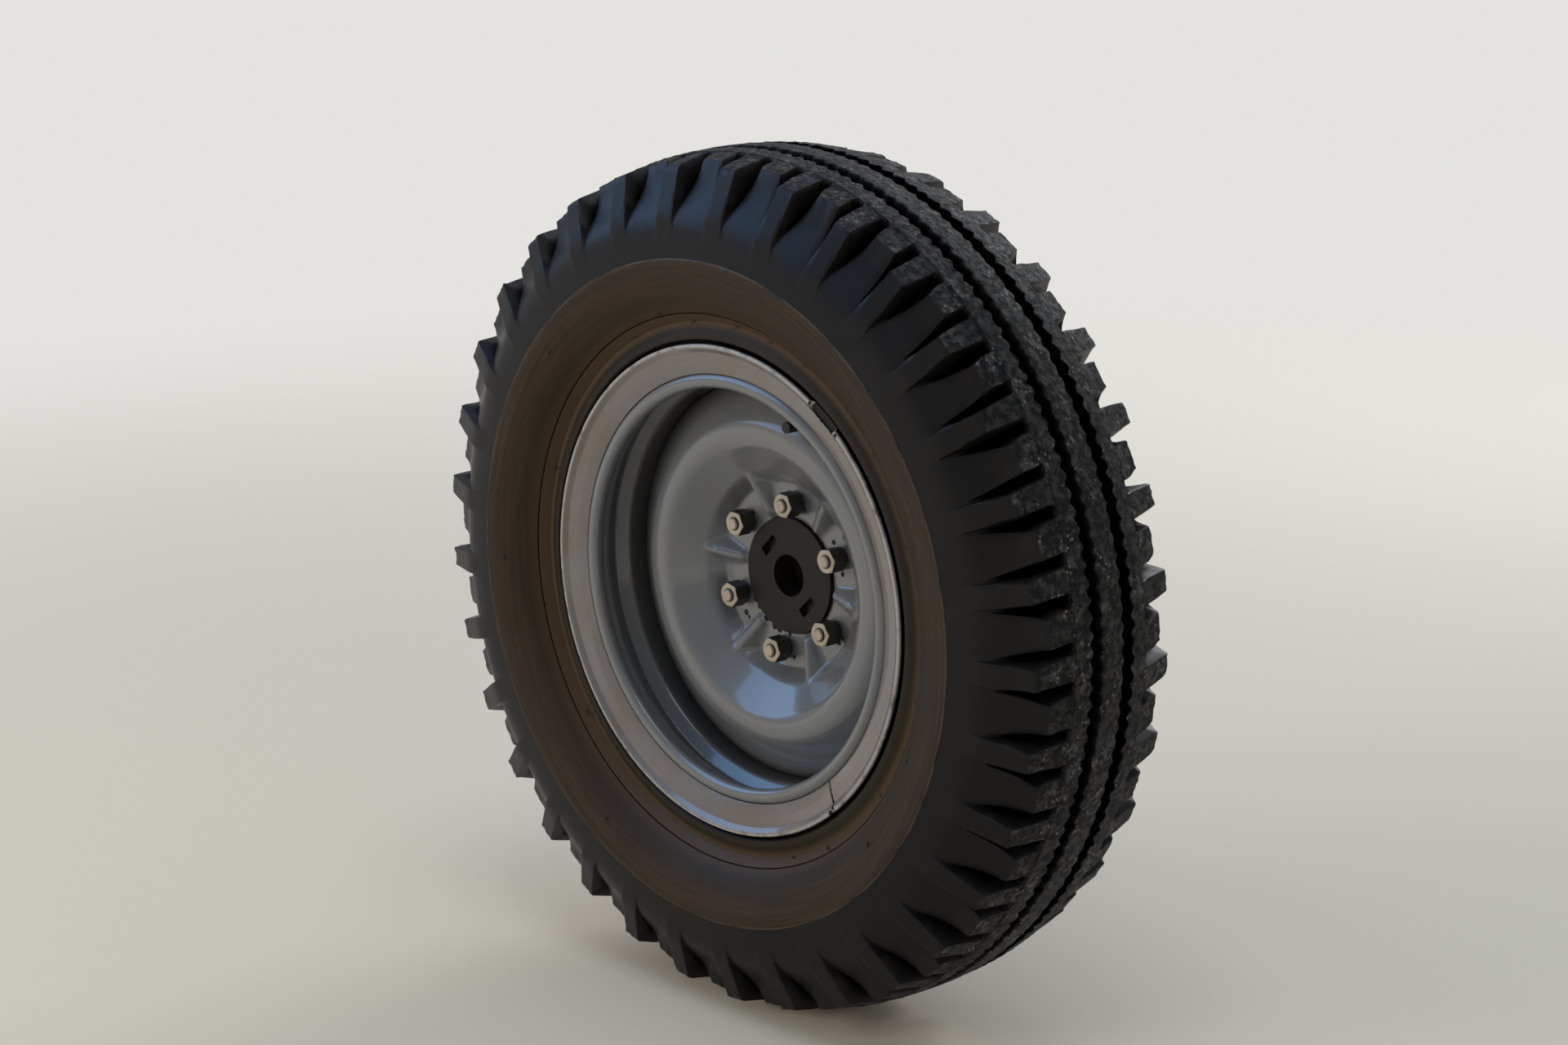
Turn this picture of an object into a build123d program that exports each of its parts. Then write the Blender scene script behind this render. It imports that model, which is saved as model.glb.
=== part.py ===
# Rear wheel of a light four wheel drive army car, on its brake drum and the end of its axle.
# Millimetres. +X is forward, +Y is inboard along the axle, +Z is up.
# The origin is on the wheel's axis, at the end of the axle tube that goes into the rest of the axle.

from build123d import *
import os
from math import cos, hypot, radians, sin, tan

os.makedirs("parts", exist_ok=True)


# Places along the axle
wheel_to_tube_end = 400.0    # from the middle plane of rim and tyre to the inboard end of the axle tube
disc_inset = 12.5            # the drum's mounting face lies this far inboard of the middle plane
spring_to_wheel = 220.0      # from the middle plane inboard to the middle of the spring seat

# Fits and gaps
running_fit = 0.05           # radial, shaft in its bearing
seat_gap = 0.3               # between the tyre and the rim
push_fit = 0.1               # radial, pieces that are pushed together
moving_gap = 6.0             # between turning and fixed sheet metal

# Rim: semi drop centre base with a split side ring on its outboard edge
rim_width = 139.7            # between the flanges, 5.5 inches
bead_seat_radius = 202.8     # nominal 16 inch rim
flange_height = 22.0
rim_sheet = 5.0
well_depth = 10.3            # well and gutter floor below the bead seat
well_width = 56.0
well_offset = 4.0            # the well's middle lies inboard of the middle plane
well_slope = 9.0             # axial length of the slope from the well to a bead seat
flange_curl = 10.2           # how far each flange curls out past its bead face
gutter_bead_radius = 6.8     # half the thickness of the rolled outboard edge
gutter_bead_to_flange = 4.85  # axial, from the bead face inboard to the middle of the rolled edge
gutter_floor_width = 14.0
gutter_slope = 5.0           # axial length of the slope from the gutter to its bead seat
side_ring_gap = 0.4          # the dark seam between rolled edge and side ring
side_ring_toe = 26.0         # axial width of the side ring, from its outer lip
ring_split_width = 2.0
ring_split_angle = -59.0
ring_split_slant = 14.0      # of the cut against the radius
pry_notch_angle = 53.0
pry_notch_length = 46.0
pry_notch_depth = 5.5

# Disc of the wheel
disc_sheet = 4.5
pilot_radius = 54.1          # boss that centres drum and wheel
disc_bore_gap = 0.9
stud_circle_radius = 69.85
stud_count = 6
stud_phase = 83.9            # degrees, first stud above the forward axis
stud_radius = 6.0
hub_flat_radius = 88.0       # where the hub's flat turns up into the step round it
bowl_step_radius = 99.0      # where the step eases into the side of the bowl
bowl_step_height = 17.0
crown_radius = 137.0         # of the raised ring round the bowl
crown_top_width = 16.0
crown_height = 43.0          # from the drum's face to the middle of the sheet at the crown
hub_corner = 6.0
bowl_corner = 12.0
crown_corner = 14.0
cone_edge_height = 14.5      # from the drum's face to where the cone turns into the weld edge
weld_edge_length = 20.0
rib_start_radius = 60.0      # ribs pressed up between the nuts, from the hub to the top of the step
rib_start_height = 6.5
rib_start_width = 15.0
rib_tip_height = 17.5
rib_foot_width = 32.0
rib_top_width = 5.0
scallop_depth = 7.6          # of the cut-outs between the lands, from the middle of the sheet's weld edge
land_count = 3
land_phase = 28.0
land_half_angle = 16.0

# Wheel nuts and studs
nut_across_flats = 21.0
nut_hex_length = 16.7
nut_cone_angle = 60.0
nut_cone_radius = 10.3
nut_cone_length = 5.2
nut_cone_sunk = 2.7          # length of the cone that enters the disc
stud_end_past_nut = 2.8
stud_head_radius = 9.0
stud_head_thickness = 5.0

# Tyre, 7.50-16
tyre_radius = 394.0
tread_half_width = 83.0
tread_edge_drop = 11.0       # tread edge below the crown
rib_edge_half = 44.0         # inner ends of the shoulder slots
rib_edge_drop = 3.0
section_half_width = 105.0
widest_above_middle = 3.6    # widest place of the side wall above half the section's height
lug_reach = 43.0             # down the flank from the tread edge
lug_foot_inset = 5.5         # lower end of the lugs, inside the widest place
sidewall_step = 1.2          # the side wall stands proud of the shoulder at its widest place
tyre_toe_half = 45.0
sidewall_foot_rise = 19.2    # foot of the side wall's bulge above the top of the rim's flange
sidewall_foot_half = 74.5
sidewall_sagitta = 7.0
carcass_side = 14.0
carcass_crown = 20.0

# Lugs on both shoulders of the tyre: proud and set-back ones take turns, with a slot between
lug_pairs = 33
lug_phase = 0.35             # degrees, first proud lug of the outboard shoulder above the forward axis
slot_from_setback_lug = 2.93  # degrees, from the middle of a set-back lug
slot_inner_width = 9.5
slot_edge_width = 16.5       # at the tread edge
slot_skew = 4.8              # how far a slot's inner end lies to one side of its edge end
slot_point_width = 2.4       # where it runs out at the foot of the lugs
slot_end_rise = 3.0          # above the foot of the lugs
slot_end_depth = 2.5         # under the flank there
lug_setback = 16.0           # of the set-back lug's edge, along the axle
flank_end_rise = 2.0         # lower end of the set-back flank, above the foot of the lugs

# Brake drum
drum_inner_radius = 146.0
drum_wall = 8.0
drum_face_thickness = 8.0
drum_depth = 82.5            # outside, from the mounting face to the mouth
drum_lip_radius = 162.0
drum_lip_width = 10.0
drum_shoulder_radius = 100.0
drum_shoulder_drop = 12.0

# Axle shaft
shaft_radius = 17.0
journal_radius = 20.0
shaft_flange_radius = 88.0
shaft_flange_thickness = 13.0
pilot_proud = 8.1            # past the drum's mounting face
pilot_recess_radius = 19.6
pilot_recess_depth = 26.0
pit_circle_radius = 35.0
pit_size = (9.0, 22.0)       # along the radius and across it
pit_depth = 7.0
pit_angles = (137.0, -46.0)

# Bearing, its retainer and the end of the axle housing
bearing_outer_radius = 40.0
bearing_width = 18.0
retainer_thickness = 8.0
backplate_sheet = 3.0
backplate_inset = 57.5       # from the drum's mounting face to the outboard face of the flat middle
backplate_flat_margin = 6.1  # flat of the backing plate past the boss of the wheel cylinder
housing_flange_half = 58.0
housing_flange_corner = 22.0
housing_flange_thickness = 12.0
housing_bolt_circle = 64.0
housing_bolt_count = 4
housing_bolt_radius = 5.0
housing_bolt_flats = 17.0
housing_bolt_head = 7.0
housing_end_radius = 51.0
housing_end_length = 30.0
housing_taper_length = 22.0
tube_outer_radius = 38.0
tube_inner_radius = 31.0
tube_spigot_radius = 37.0    # turned end that is pressed into the middle of the axle
tube_spigot_length = 40.0

# Spring seat under the tube
seat_length = 112.0          # along X
seat_width = 64.0            # along Y
seat_plate = 9.0
seat_drop = 52.0             # from the axis to the seat's lower face
seat_web = 7.0
seat_bolt_radius = 6.6

# Brake fittings on the backing plate
cylinder_height = 98.0       # above the axis
cylinder_boss_radius = 11.0
cylinder_boss_length = 9.0
cylinder_boss_spacing = 26.0
union_flats = 11.0
union_length = 12.0
bleed_flats = 9.0
bleed_length = 18.0
adjuster_radius_from_axis = 100.0
adjuster_flats = 14.0
adjuster_length = 10.0
adjuster_angles = (215.0, 325.0)
pipe_radius = 2.4
pipe_bend = 14.0
pipe_clip_places = (235.0, 80.0)   # from the end of the tube
pipe_end = 60.0              # from the end of the tube
clip_width = 10.0
clip_sheet = 1.5

# Valve stem
valve_angle = 72.0
valve_station = -31.0        # from the middle plane, outboard is minus
valve_stem_radius = 3.8
valve_hole_gap = 0.4
valve_foot_radius = 6.5
valve_foot_thickness = 2.5
valve_cap_radius = 5.2
valve_cap_length = 13.0
valve_axis_radius = 162.0
valve_tip_station = -47.0
valve_bend = 9.0


# Derived places, all along Y from the end of the tube
wheel_plane = -wheel_to_tube_end
hub_face = wheel_plane + disc_inset
half_rim = rim_width / 2
backplate_face = hub_face + backplate_inset
backplate_back = backplate_face + backplate_sheet
drum_mouth = hub_face + drum_depth
flange_back = backplate_back + housing_flange_thickness
spring_plane = wheel_plane + spring_to_wheel


def station(y):
    """Plane square to the axle at y. Its X is forward, its Y is up, and it faces outboard."""
    return Plane.XZ.offset(-y)


def turned_frame(y):
    """Plane for the section of a turned piece: X is the radius, and Y runs inboard from y."""
    return Plane(origin=(0, y, 0), x_dir=(1, 0, 0), z_dir=(0, 0, 1))


def on_circle(radius, angle, y):
    """Point at a radius and an angle round the axle, at the station y."""
    return Vector(radius * cos(radians(angle)), y, radius * sin(radians(angle)))


def spot(radius, angle):
    """The same point in the flat of a station's sketch."""
    return (radius * cos(radians(angle)), radius * sin(radians(angle)))


def stud_angles():
    """Angle of each stud round the axle."""
    return [stud_phase + 360 / stud_count * i for i in range(stud_count)]


def finish(builder, label):
    """Names a finished piece and writes it."""
    builder.part.label = label
    export_step(builder.part, f"parts/{label}.step")


# Tyre: one hollow casing, seen as a half section and mirrored about the middle plane
bead_half = half_rim - seat_gap
tyre_bore = bead_seat_radius + seat_gap
flange_top = bead_seat_radius + flange_height
tread_edge_radius = tyre_radius - tread_edge_drop
section_radius = (bead_seat_radius + tyre_radius) / 2 + widest_above_middle
cavity_crown = tyre_radius - carcass_crown
cavity_half = section_half_width - carcass_side
lug_foot_radius = tread_edge_radius - lug_reach
lug_foot_half = section_half_width - lug_foot_inset
tool_radius = tyre_radius + 2.0
tool_half = section_half_width + 20.0


def slot_outline(start, width_at_start, offset_at_start):
    """Outline of a slot seen along the radius, from start outboard: X is outboard, Y is round the wheel."""
    run = tread_half_width - rib_edge_half
    upper_slope = (slot_edge_width / 2 - slot_inner_width / 2 - slot_skew) / run
    lower_slope = (-slot_edge_width / 2 + slot_inner_width / 2 - slot_skew) / run
    upper = offset_at_start + width_at_start / 2
    lower = offset_at_start - width_at_start / 2
    length = tool_half - start
    return [
        (start, upper),
        (start, lower),
        (tool_half, lower + lower_slope * length),
        (tool_half, upper + upper_slope * length),
    ]


def seen_inwards(radius):
    """Plane square to the radius of a lug at 0 degrees: X is outboard, Y is round the wheel."""
    return Plane(origin=(radius, 0, 0), x_dir=(0, -1, 0), z_dir=(-1, 0, 0))


def shoulder_cuts():
    """What is cut from both shoulders: for each set-back lug its slanted flank and the slots beside it."""
    with BuildPart() as slot:
        with BuildSketch(seen_inwards(tool_radius)):
            Polygon(*slot_outline(rib_edge_half - 4.0, slot_inner_width, slot_skew), align=None)
        with BuildSketch(seen_inwards(lug_foot_radius + slot_end_rise)):
            Polygon(*slot_outline(lug_foot_half - slot_end_depth, slot_point_width, 0), align=None)
        loft(ruled=True)
    with BuildPart() as flank:
        with BuildSketch(Plane.XY):
            Polygon(
                (tool_radius, -(tread_half_width - lug_setback - 6.0)),
                (lug_foot_radius + flank_end_rise, -lug_foot_half),
                (tool_radius, -tool_half),
                align=None,
            )
        extrude(amount=tool_radius * sin(radians(slot_from_setback_lug)) - 3.0, both=True)
    cut = Rotation(0, slot_from_setback_lug, 0) * slot.part
    cut += Rotation(0, -slot_from_setback_lug, 0) * slot.part
    cut += flank.part
    pitch = 360 / lug_pairs
    outboard = [
        Pos(0, wheel_plane, 0) * Rotation(0, -lug_phase - pitch * (i + 0.5), 0) * cut
        for i in range(lug_pairs)
    ]
    inboard = [
        Pos(0, wheel_plane, 0) * Rotation(0, -lug_phase - pitch * (i + 0.25), 0) * Rotation(180, 0, 0) * cut
        for i in range(lug_pairs)
    ]
    return outboard + inboard


with BuildPart() as tyre:
    with BuildSketch(turned_frame(wheel_plane)):
        with BuildLine():
            Polyline(
                (cavity_crown, 0),
                (tyre_radius, 0),
                (tyre_radius - rib_edge_drop, rib_edge_half),
                (tread_edge_radius, tread_half_width),
                (tread_edge_radius - lug_reach, section_half_width - lug_foot_inset),
                (section_radius + sidewall_step / 2, section_half_width - sidewall_step),
                (section_radius, section_half_width),
            )
            SagittaArc(
                (flange_top + sidewall_foot_rise, sidewall_foot_half),
                (section_radius, section_half_width),
                sidewall_sagitta,
            )
            Polyline(
                (flange_top + sidewall_foot_rise, sidewall_foot_half),
                (flange_top - 6.0, bead_half),
                (tyre_bore + 5.0, bead_half),
                (tyre_bore, bead_half - 5.0),
                (tyre_bore, tyre_toe_half),
                (tyre_bore + 10.0, tyre_toe_half),
                (flange_top + sidewall_foot_rise + carcass_side, cavity_half - 8.0),
                ((section_radius + tread_edge_radius) / 2, cavity_half - 4.0),
                (cavity_crown, 0),
            )
        make_face()
        mirror(about=Plane.XZ)
    revolve(axis=Axis.Y)
    add(shoulder_cuts(), mode=Mode.SUBTRACT)
finish(tyre, "tyre")


# Rim base: gutter with a rolled edge, bead seats, well and the fixed inboard flange
floor_radius = bead_seat_radius - well_depth
bead_axis_radius = floor_radius - rim_sheet + gutter_bead_radius - 4.5
bead_station = -half_rim + gutter_bead_to_flange
seat_line = bead_seat_radius - rim_sheet / 2
floor_line = floor_radius - rim_sheet / 2
gutter_end = bead_station + gutter_floor_width
well_start = well_offset - well_width / 2
well_end = well_offset + well_width / 2
flange_line = half_rim + rim_sheet / 2

with BuildPart() as wheel_rim:
    with BuildSketch(turned_frame(wheel_plane)):
        with BuildLine():
            base_line = FilletPolyline(
                (floor_line, bead_station),
                (floor_line, gutter_end),
                (seat_line, gutter_end + gutter_slope),
                (seat_line, well_start - well_slope),
                (floor_line, well_start),
                (floor_line, well_end),
                (seat_line, well_end + well_slope),
                (seat_line, flange_line),
                (flange_top - rim_sheet, flange_line),
                (flange_top - rim_sheet / 2, half_rim + flange_curl),
                radius=(3, 3, 5, 5, 5, 5, 5.5, 4),
            )
        trace(line_width=rim_sheet)
        with Locations((bead_axis_radius, bead_station)):
            Circle(gutter_bead_radius)
    revolve(axis=Axis.Y)
    with BuildSketch(
        Plane(
            origin=on_circle(flange_top, valve_angle, wheel_plane + valve_station),
            z_dir=on_circle(-1, valve_angle, 0),
        )
    ):
        Circle(valve_stem_radius + valve_hole_gap)
    extrude(amount=flange_height + 2 * well_depth + rim_sheet, mode=Mode.SUBTRACT)
finish(wheel_rim, "wheel_rim")


# Side ring: the split outboard flange that snaps into the gutter
ring_inner = bead_axis_radius + gutter_bead_radius + side_ring_gap
ring_lip = -half_rim - flange_curl
ring_toe_end = ring_lip + side_ring_toe

with BuildPart() as side_ring:
    with BuildSketch(turned_frame(wheel_plane)):
        with BuildLine():
            Polyline(
                (ring_inner, bead_station + 5.5),
                (ring_inner, ring_lip + 11.8),
                (ring_inner + 9.0, ring_lip + 6.6),
                (flange_top - 4.0, ring_lip),
                (flange_top - 0.8, ring_lip),
                (flange_top - 0.4, ring_lip + 1.6),
                (flange_top - 5.0, ring_lip + 7.2),
                (flange_top - 11.0, -half_rim),
                (bead_seat_radius + 4.5, -half_rim),
                (bead_seat_radius, -half_rim + 4.5),
                (bead_seat_radius, ring_toe_end),
                (floor_radius + push_fit, ring_toe_end),
                (floor_radius + push_fit, bead_station + gutter_bead_radius + 0.6),
                close=True,
            )
        make_face()
    revolve(axis=Axis.Y)
    with BuildSketch(station(wheel_plane + ring_toe_end + 1.0)):
        with Locations(spot(ring_inner + 12.0, ring_split_angle)):
            Rectangle(60.0, ring_split_width, rotation=ring_split_angle + ring_split_slant)
    extrude(amount=side_ring_toe + 2.0, mode=Mode.SUBTRACT)
    with BuildSketch(station(wheel_plane + ring_lip + 6.0)):
        with Locations(spot(flange_top, pry_notch_angle)):
            RectangleRounded(
                2 * pry_notch_depth, pry_notch_length, 4.0, rotation=pry_notch_angle
            )
    extrude(amount=8.0, mode=Mode.SUBTRACT)
finish(side_ring, "side_ring")


# Wheel disc: pressed bowl with a raised crown, welded to the well on three lands
disc_line = hub_face - disc_sheet / 2
weld_radius = floor_radius - rim_sheet - disc_sheet / 2 - push_fit
disc_bore = pilot_radius + disc_bore_gap
hub_front = hub_face - disc_sheet
crown_line = crown_height - disc_sheet / 2
step_run = bowl_step_radius - hub_flat_radius


def rib_section(foot_width, height):
    """Section of a pressed rib: X is across it, Y is up from the sheet, and its foot is 1 mm in the sheet."""
    return [
        (-foot_width / 2, -1.0),
        (foot_width / 2, -1.0),
        (rib_top_width / 2, height),
        (-rib_top_width / 2, height),
    ]


with BuildPart() as wheel_disc:
    with BuildSketch(turned_frame(disc_line)):
        with BuildLine():
            FilletPolyline(
                (disc_bore, 0),
                (hub_flat_radius, 0),
                (bowl_step_radius, -bowl_step_height),
                (crown_radius - crown_top_width / 2, -crown_line),
                (crown_radius + crown_top_width / 2, -crown_line),
                (weld_radius, -cone_edge_height),
                (weld_radius, -cone_edge_height + weld_edge_length),
                radius=(hub_corner, bowl_corner, crown_corner, crown_corner, 8.0),
            )
        trace(line_width=disc_sheet)
    revolve(axis=Axis.Y)
    for stud_angle in stud_angles():
        rib_angle = stud_angle + 180 / stud_count
        rib_along = on_circle(1, rib_angle, 0)
        rib_across = on_circle(1, rib_angle + 90, 0)
        step_up = (rib_along * step_run - Vector(0, bowl_step_height, 0)).normalized()
        rib_rise = rib_tip_height / step_up.dot(Vector(0, -1, 0))
        with BuildSketch(
            Plane(
                origin=on_circle(rib_start_radius, rib_angle, hub_front),
                x_dir=rib_across,
                z_dir=rib_along,
            )
        ):
            Polygon(*rib_section(rib_start_width, rib_start_height), align=None)
        with BuildSketch(
            Plane(
                origin=on_circle(hub_flat_radius, rib_angle, hub_front),
                x_dir=rib_across,
                z_dir=rib_across.cross(step_up),
            )
        ):
            Polygon(*rib_section(rib_foot_width, rib_rise), align=None)
        loft(ruled=True)
    with BuildSketch(station(hub_face + weld_edge_length)):
        Circle(floor_radius)
        Circle(weld_radius - scallop_depth, mode=Mode.SUBTRACT)
        for i in range(land_count):
            land_angle = land_phase + 360 / land_count * i
            with BuildLine():
                Polyline(
                    (0, 0),
                    spot(2 * floor_radius, land_angle - land_half_angle),
                    spot(2 * floor_radius, land_angle + land_half_angle),
                    close=True,
                )
            make_face(mode=Mode.SUBTRACT)
    extrude(amount=crown_height + weld_edge_length, mode=Mode.SUBTRACT)
    sink_slope = tan(radians(nut_cone_angle / 2))
    sink_radius = nut_cone_radius - (nut_cone_length - nut_cone_sunk) * sink_slope + push_fit
    with Locations(station(hub_face - disc_sheet)):
        with PolarLocations(stud_circle_radius, stud_count, start_angle=stud_phase):
            CounterSinkHole(
                radius=nut_cone_radius - nut_cone_length * sink_slope + push_fit,
                counter_sink_radius=sink_radius,
                depth=disc_sheet,
                counter_sink_angle=nut_cone_angle,
            )
finish(wheel_disc, "wheel_disc")


# Wheel nuts with a conical seat, and the studs they turn on
nut_seat = hub_face - disc_sheet + nut_cone_sunk
nut_cone_end_radius = nut_cone_radius - nut_cone_length * sink_slope
stud_end = nut_seat - nut_cone_length - nut_hex_length - stud_end_past_nut
shaft_flange_face = hub_face + drum_face_thickness
shaft_flange_back = shaft_flange_face + shaft_flange_thickness

for i, angle in enumerate(stud_angles(), start=1):
    with BuildPart() as wheel_nut:
        with BuildSketch(station(nut_seat)):
            with Locations(spot(stud_circle_radius, angle)):
                Circle(nut_cone_end_radius)
        with BuildSketch(station(nut_seat - nut_cone_length)):
            with Locations(spot(stud_circle_radius, angle)):
                Circle(nut_cone_radius)
        loft()
        with BuildSketch(station(nut_seat - nut_cone_length)):
            with Locations(spot(stud_circle_radius, angle)):
                RegularPolygon(nut_across_flats / 2, 6, major_radius=False, rotation=17.0 * i)
        extrude(amount=nut_hex_length)
        with Locations(station(nut_seat - nut_cone_length - nut_hex_length)):
            with Locations(spot(stud_circle_radius, angle)):
                Hole(stud_radius + running_fit)
    finish(wheel_nut, f"wheel_nut_{i}")

    with BuildPart() as wheel_stud:
        with BuildSketch(station(shaft_flange_back + stud_head_thickness)):
            with Locations(spot(stud_circle_radius, angle)):
                Circle(stud_head_radius)
        extrude(amount=stud_head_thickness)
        with BuildSketch(station(shaft_flange_back)):
            with Locations(spot(stud_circle_radius, angle)):
                Circle(stud_radius)
        extrude(amount=shaft_flange_back - stud_end)
        chamfer(wheel_stud.faces().sort_by(Axis.Y)[0].edges(), 1.2)
    finish(wheel_stud, f"wheel_stud_{i}")


# Brake drum: casting between the wheel disc and the flange of the axle shaft
drum_outer = drum_inner_radius + drum_wall

with BuildPart() as brake_drum:
    with BuildSketch(turned_frame(hub_face)) as drum_section:
        with BuildLine():
            Polyline(
                (pilot_radius + push_fit, 0),
                (drum_shoulder_radius, 0),
                (drum_shoulder_radius + drum_shoulder_drop, drum_shoulder_drop),
                (drum_outer - drum_shoulder_drop, drum_shoulder_drop),
                (drum_outer, 2 * drum_shoulder_drop),
                (drum_outer, drum_depth - drum_lip_width),
                (drum_lip_radius, drum_depth - drum_lip_width + 2.0),
                (drum_lip_radius, drum_depth),
                (drum_inner_radius, drum_depth),
                (drum_inner_radius, drum_shoulder_drop + drum_face_thickness),
                (drum_shoulder_radius + drum_shoulder_drop - 4.0, drum_shoulder_drop + drum_face_thickness),
                (drum_shoulder_radius - 4.0, drum_face_thickness),
                (pilot_radius + push_fit, drum_face_thickness),
                close=True,
            )
        make_face()
    revolve(axis=Axis.Y)
    with Locations(station(hub_face)):
        with PolarLocations(stud_circle_radius, stud_count, start_angle=stud_phase):
            Hole(stud_radius + push_fit)
finish(brake_drum, "brake_drum")


# Axle shaft: flange with the pilot boss, bearing journal and the shaft itself
bearing_face = backplate_face
pilot_face = hub_face - pilot_proud

with BuildPart() as axle_shaft:
    with BuildSketch(turned_frame(0)):
        with BuildLine():
            Polyline(
                (0, pilot_face),
                (pilot_radius, pilot_face),
                (pilot_radius, shaft_flange_face),
                (shaft_flange_radius, shaft_flange_face),
                (shaft_flange_radius, shaft_flange_back),
                (journal_radius + 9.0, shaft_flange_back),
                (journal_radius + 4.0, backplate_face - retainer_thickness - moving_gap),
                (journal_radius, backplate_face - retainer_thickness - moving_gap + 1.0),
                (journal_radius, bearing_face + bearing_width + 4.0),
                (shaft_radius, bearing_face + bearing_width + 7.0),
                (shaft_radius, 0),
                (0, 0),
                close=True,
            )
        make_face()
    revolve(axis=Axis.Y)
    with BuildSketch(station(pilot_face)):
        Circle(pilot_recess_radius)
    extrude(amount=-pilot_recess_depth, mode=Mode.SUBTRACT)
    with BuildSketch(station(pilot_face)):
        for pit_angle in pit_angles:
            with Locations(spot(pit_circle_radius, pit_angle)):
                Rectangle(pit_size[0], pit_size[1], rotation=pit_angle)
    extrude(amount=-pit_depth, mode=Mode.SUBTRACT)
    with Locations(station(shaft_flange_face)):
        with PolarLocations(stud_circle_radius, stud_count, start_angle=stud_phase):
            Hole(stud_radius + push_fit, depth=shaft_flange_thickness)
finish(axle_shaft, "axle_shaft")


# Valve stem: comes through the well and bends outboard beside the disc
valve_root_radius = bead_seat_radius + push_fit
stem_root = on_circle(valve_root_radius, valve_angle, wheel_plane + valve_station)
stem_corner = on_circle(valve_axis_radius, valve_angle, wheel_plane + valve_station)
stem_tip = on_circle(valve_axis_radius, valve_angle, wheel_plane + valve_tip_station)

with BuildPart() as valve_stem:
    with BuildLine() as stem_path:
        FilletPolyline(stem_root, stem_corner, stem_tip, radius=valve_bend)
    with BuildSketch(Plane(origin=stem_root, z_dir=on_circle(-1, valve_angle, 0))):
        Circle(valve_stem_radius)
    sweep()
    with BuildSketch(Plane(origin=stem_root, z_dir=on_circle(-1, valve_angle, 0))):
        Circle(valve_foot_radius)
    extrude(amount=-valve_foot_thickness)
    with BuildSketch(Plane(origin=stem_tip, z_dir=(0, -1, 0))):
        Circle(valve_cap_radius)
    extrude(amount=-valve_cap_length)
finish(valve_stem, "valve_stem")


# Axle housing: tube with its tapered end and bolting flange
bearing_back = bearing_face + bearing_width

with BuildPart() as axle_housing:
    with BuildSketch(turned_frame(0)):
        with BuildLine():
            Polyline(
                (bearing_outer_radius + push_fit, backplate_back),
                (housing_end_radius, backplate_back),
                (housing_end_radius, backplate_back + housing_end_length),
                (tube_outer_radius, backplate_back + housing_end_length + housing_taper_length),
                (tube_outer_radius, -tube_spigot_length),
                (tube_spigot_radius, -tube_spigot_length),
                (tube_spigot_radius, 0),
                (tube_inner_radius, 0),
                (tube_inner_radius, bearing_back),
                (bearing_outer_radius + push_fit, bearing_back),
                close=True,
            )
        make_face()
    revolve(axis=Axis.Y)
    with BuildSketch(station(flange_back)):
        RectangleRounded(2 * housing_flange_half, 2 * housing_flange_half, housing_flange_corner)
        Circle(housing_end_radius - 1.0, mode=Mode.SUBTRACT)
    extrude(amount=housing_flange_thickness)
    with Locations(station(backplate_back)):
        with PolarLocations(housing_bolt_circle, housing_bolt_count, start_angle=45.0):
            Hole(housing_bolt_radius + push_fit, depth=housing_flange_thickness)
finish(axle_housing, "axle_housing")


# Wheel bearing: its outer ring is held between the housing and the retainer
with BuildPart() as hub_bearing:
    with BuildSketch(station(bearing_back)):
        Circle(bearing_outer_radius)
        Circle(journal_radius + running_fit, mode=Mode.SUBTRACT)
    extrude(amount=bearing_width)
finish(hub_bearing, "hub_bearing")

with BuildPart() as bearing_retainer:
    with BuildSketch(station(backplate_face)):
        RectangleRounded(2 * housing_flange_half, 2 * housing_flange_half, housing_flange_corner)
        Circle(journal_radius + moving_gap, mode=Mode.SUBTRACT)
    extrude(amount=retainer_thickness)
    with Locations(station(backplate_face - retainer_thickness)):
        with PolarLocations(housing_bolt_circle, housing_bolt_count, start_angle=45.0):
            Hole(housing_bolt_radius + push_fit, depth=retainer_thickness)
finish(bearing_retainer, "bearing_retainer")


# Backing plate: dished sheet whose rim turns round the mouth of the drum
cylinder_far_radius = hypot(cylinder_height, cylinder_boss_spacing / 2) + cylinder_boss_radius
backplate_flat_radius = cylinder_far_radius + backplate_flat_margin
rim_plane = drum_mouth + moving_gap + backplate_sheet / 2
rim_line = drum_lip_radius + moving_gap + backplate_sheet / 2

with BuildPart() as backing_plate:
    with BuildSketch(turned_frame(backplate_face + backplate_sheet / 2)):
        with BuildLine():
            dish = rim_plane - backplate_face - backplate_sheet / 2
            FilletPolyline(
                (bearing_outer_radius + push_fit, 0),
                (backplate_flat_radius, 0),
                (backplate_flat_radius + 12.0, dish),
                (rim_line, dish),
                (rim_line, dish - 15.0),
                radius=(6.0, 6.0, 5.0),
            )
        trace(line_width=backplate_sheet)
    revolve(axis=Axis.Y)
    with Locations(station(backplate_face)):
        with PolarLocations(housing_bolt_circle, housing_bolt_count, start_angle=45.0):
            Hole(housing_bolt_radius + push_fit, depth=backplate_sheet)
finish(backing_plate, "backing_plate")

for i in range(housing_bolt_count):
    bolt_angle = 45.0 + 360 / housing_bolt_count * i
    with BuildPart() as flange_bolt:
        with BuildSketch(station(flange_back + housing_bolt_head)):
            with Locations(spot(housing_bolt_circle, bolt_angle)):
                RegularPolygon(housing_bolt_flats / 2, 6, major_radius=False)
        extrude(amount=housing_bolt_head)
        with BuildSketch(station(flange_back)):
            with Locations(spot(housing_bolt_circle, bolt_angle)):
                Circle(housing_bolt_radius)
        extrude(amount=flange_back - backplate_face + retainer_thickness)
    finish(flange_bolt, f"flange_bolt_{i + 1}")


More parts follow.
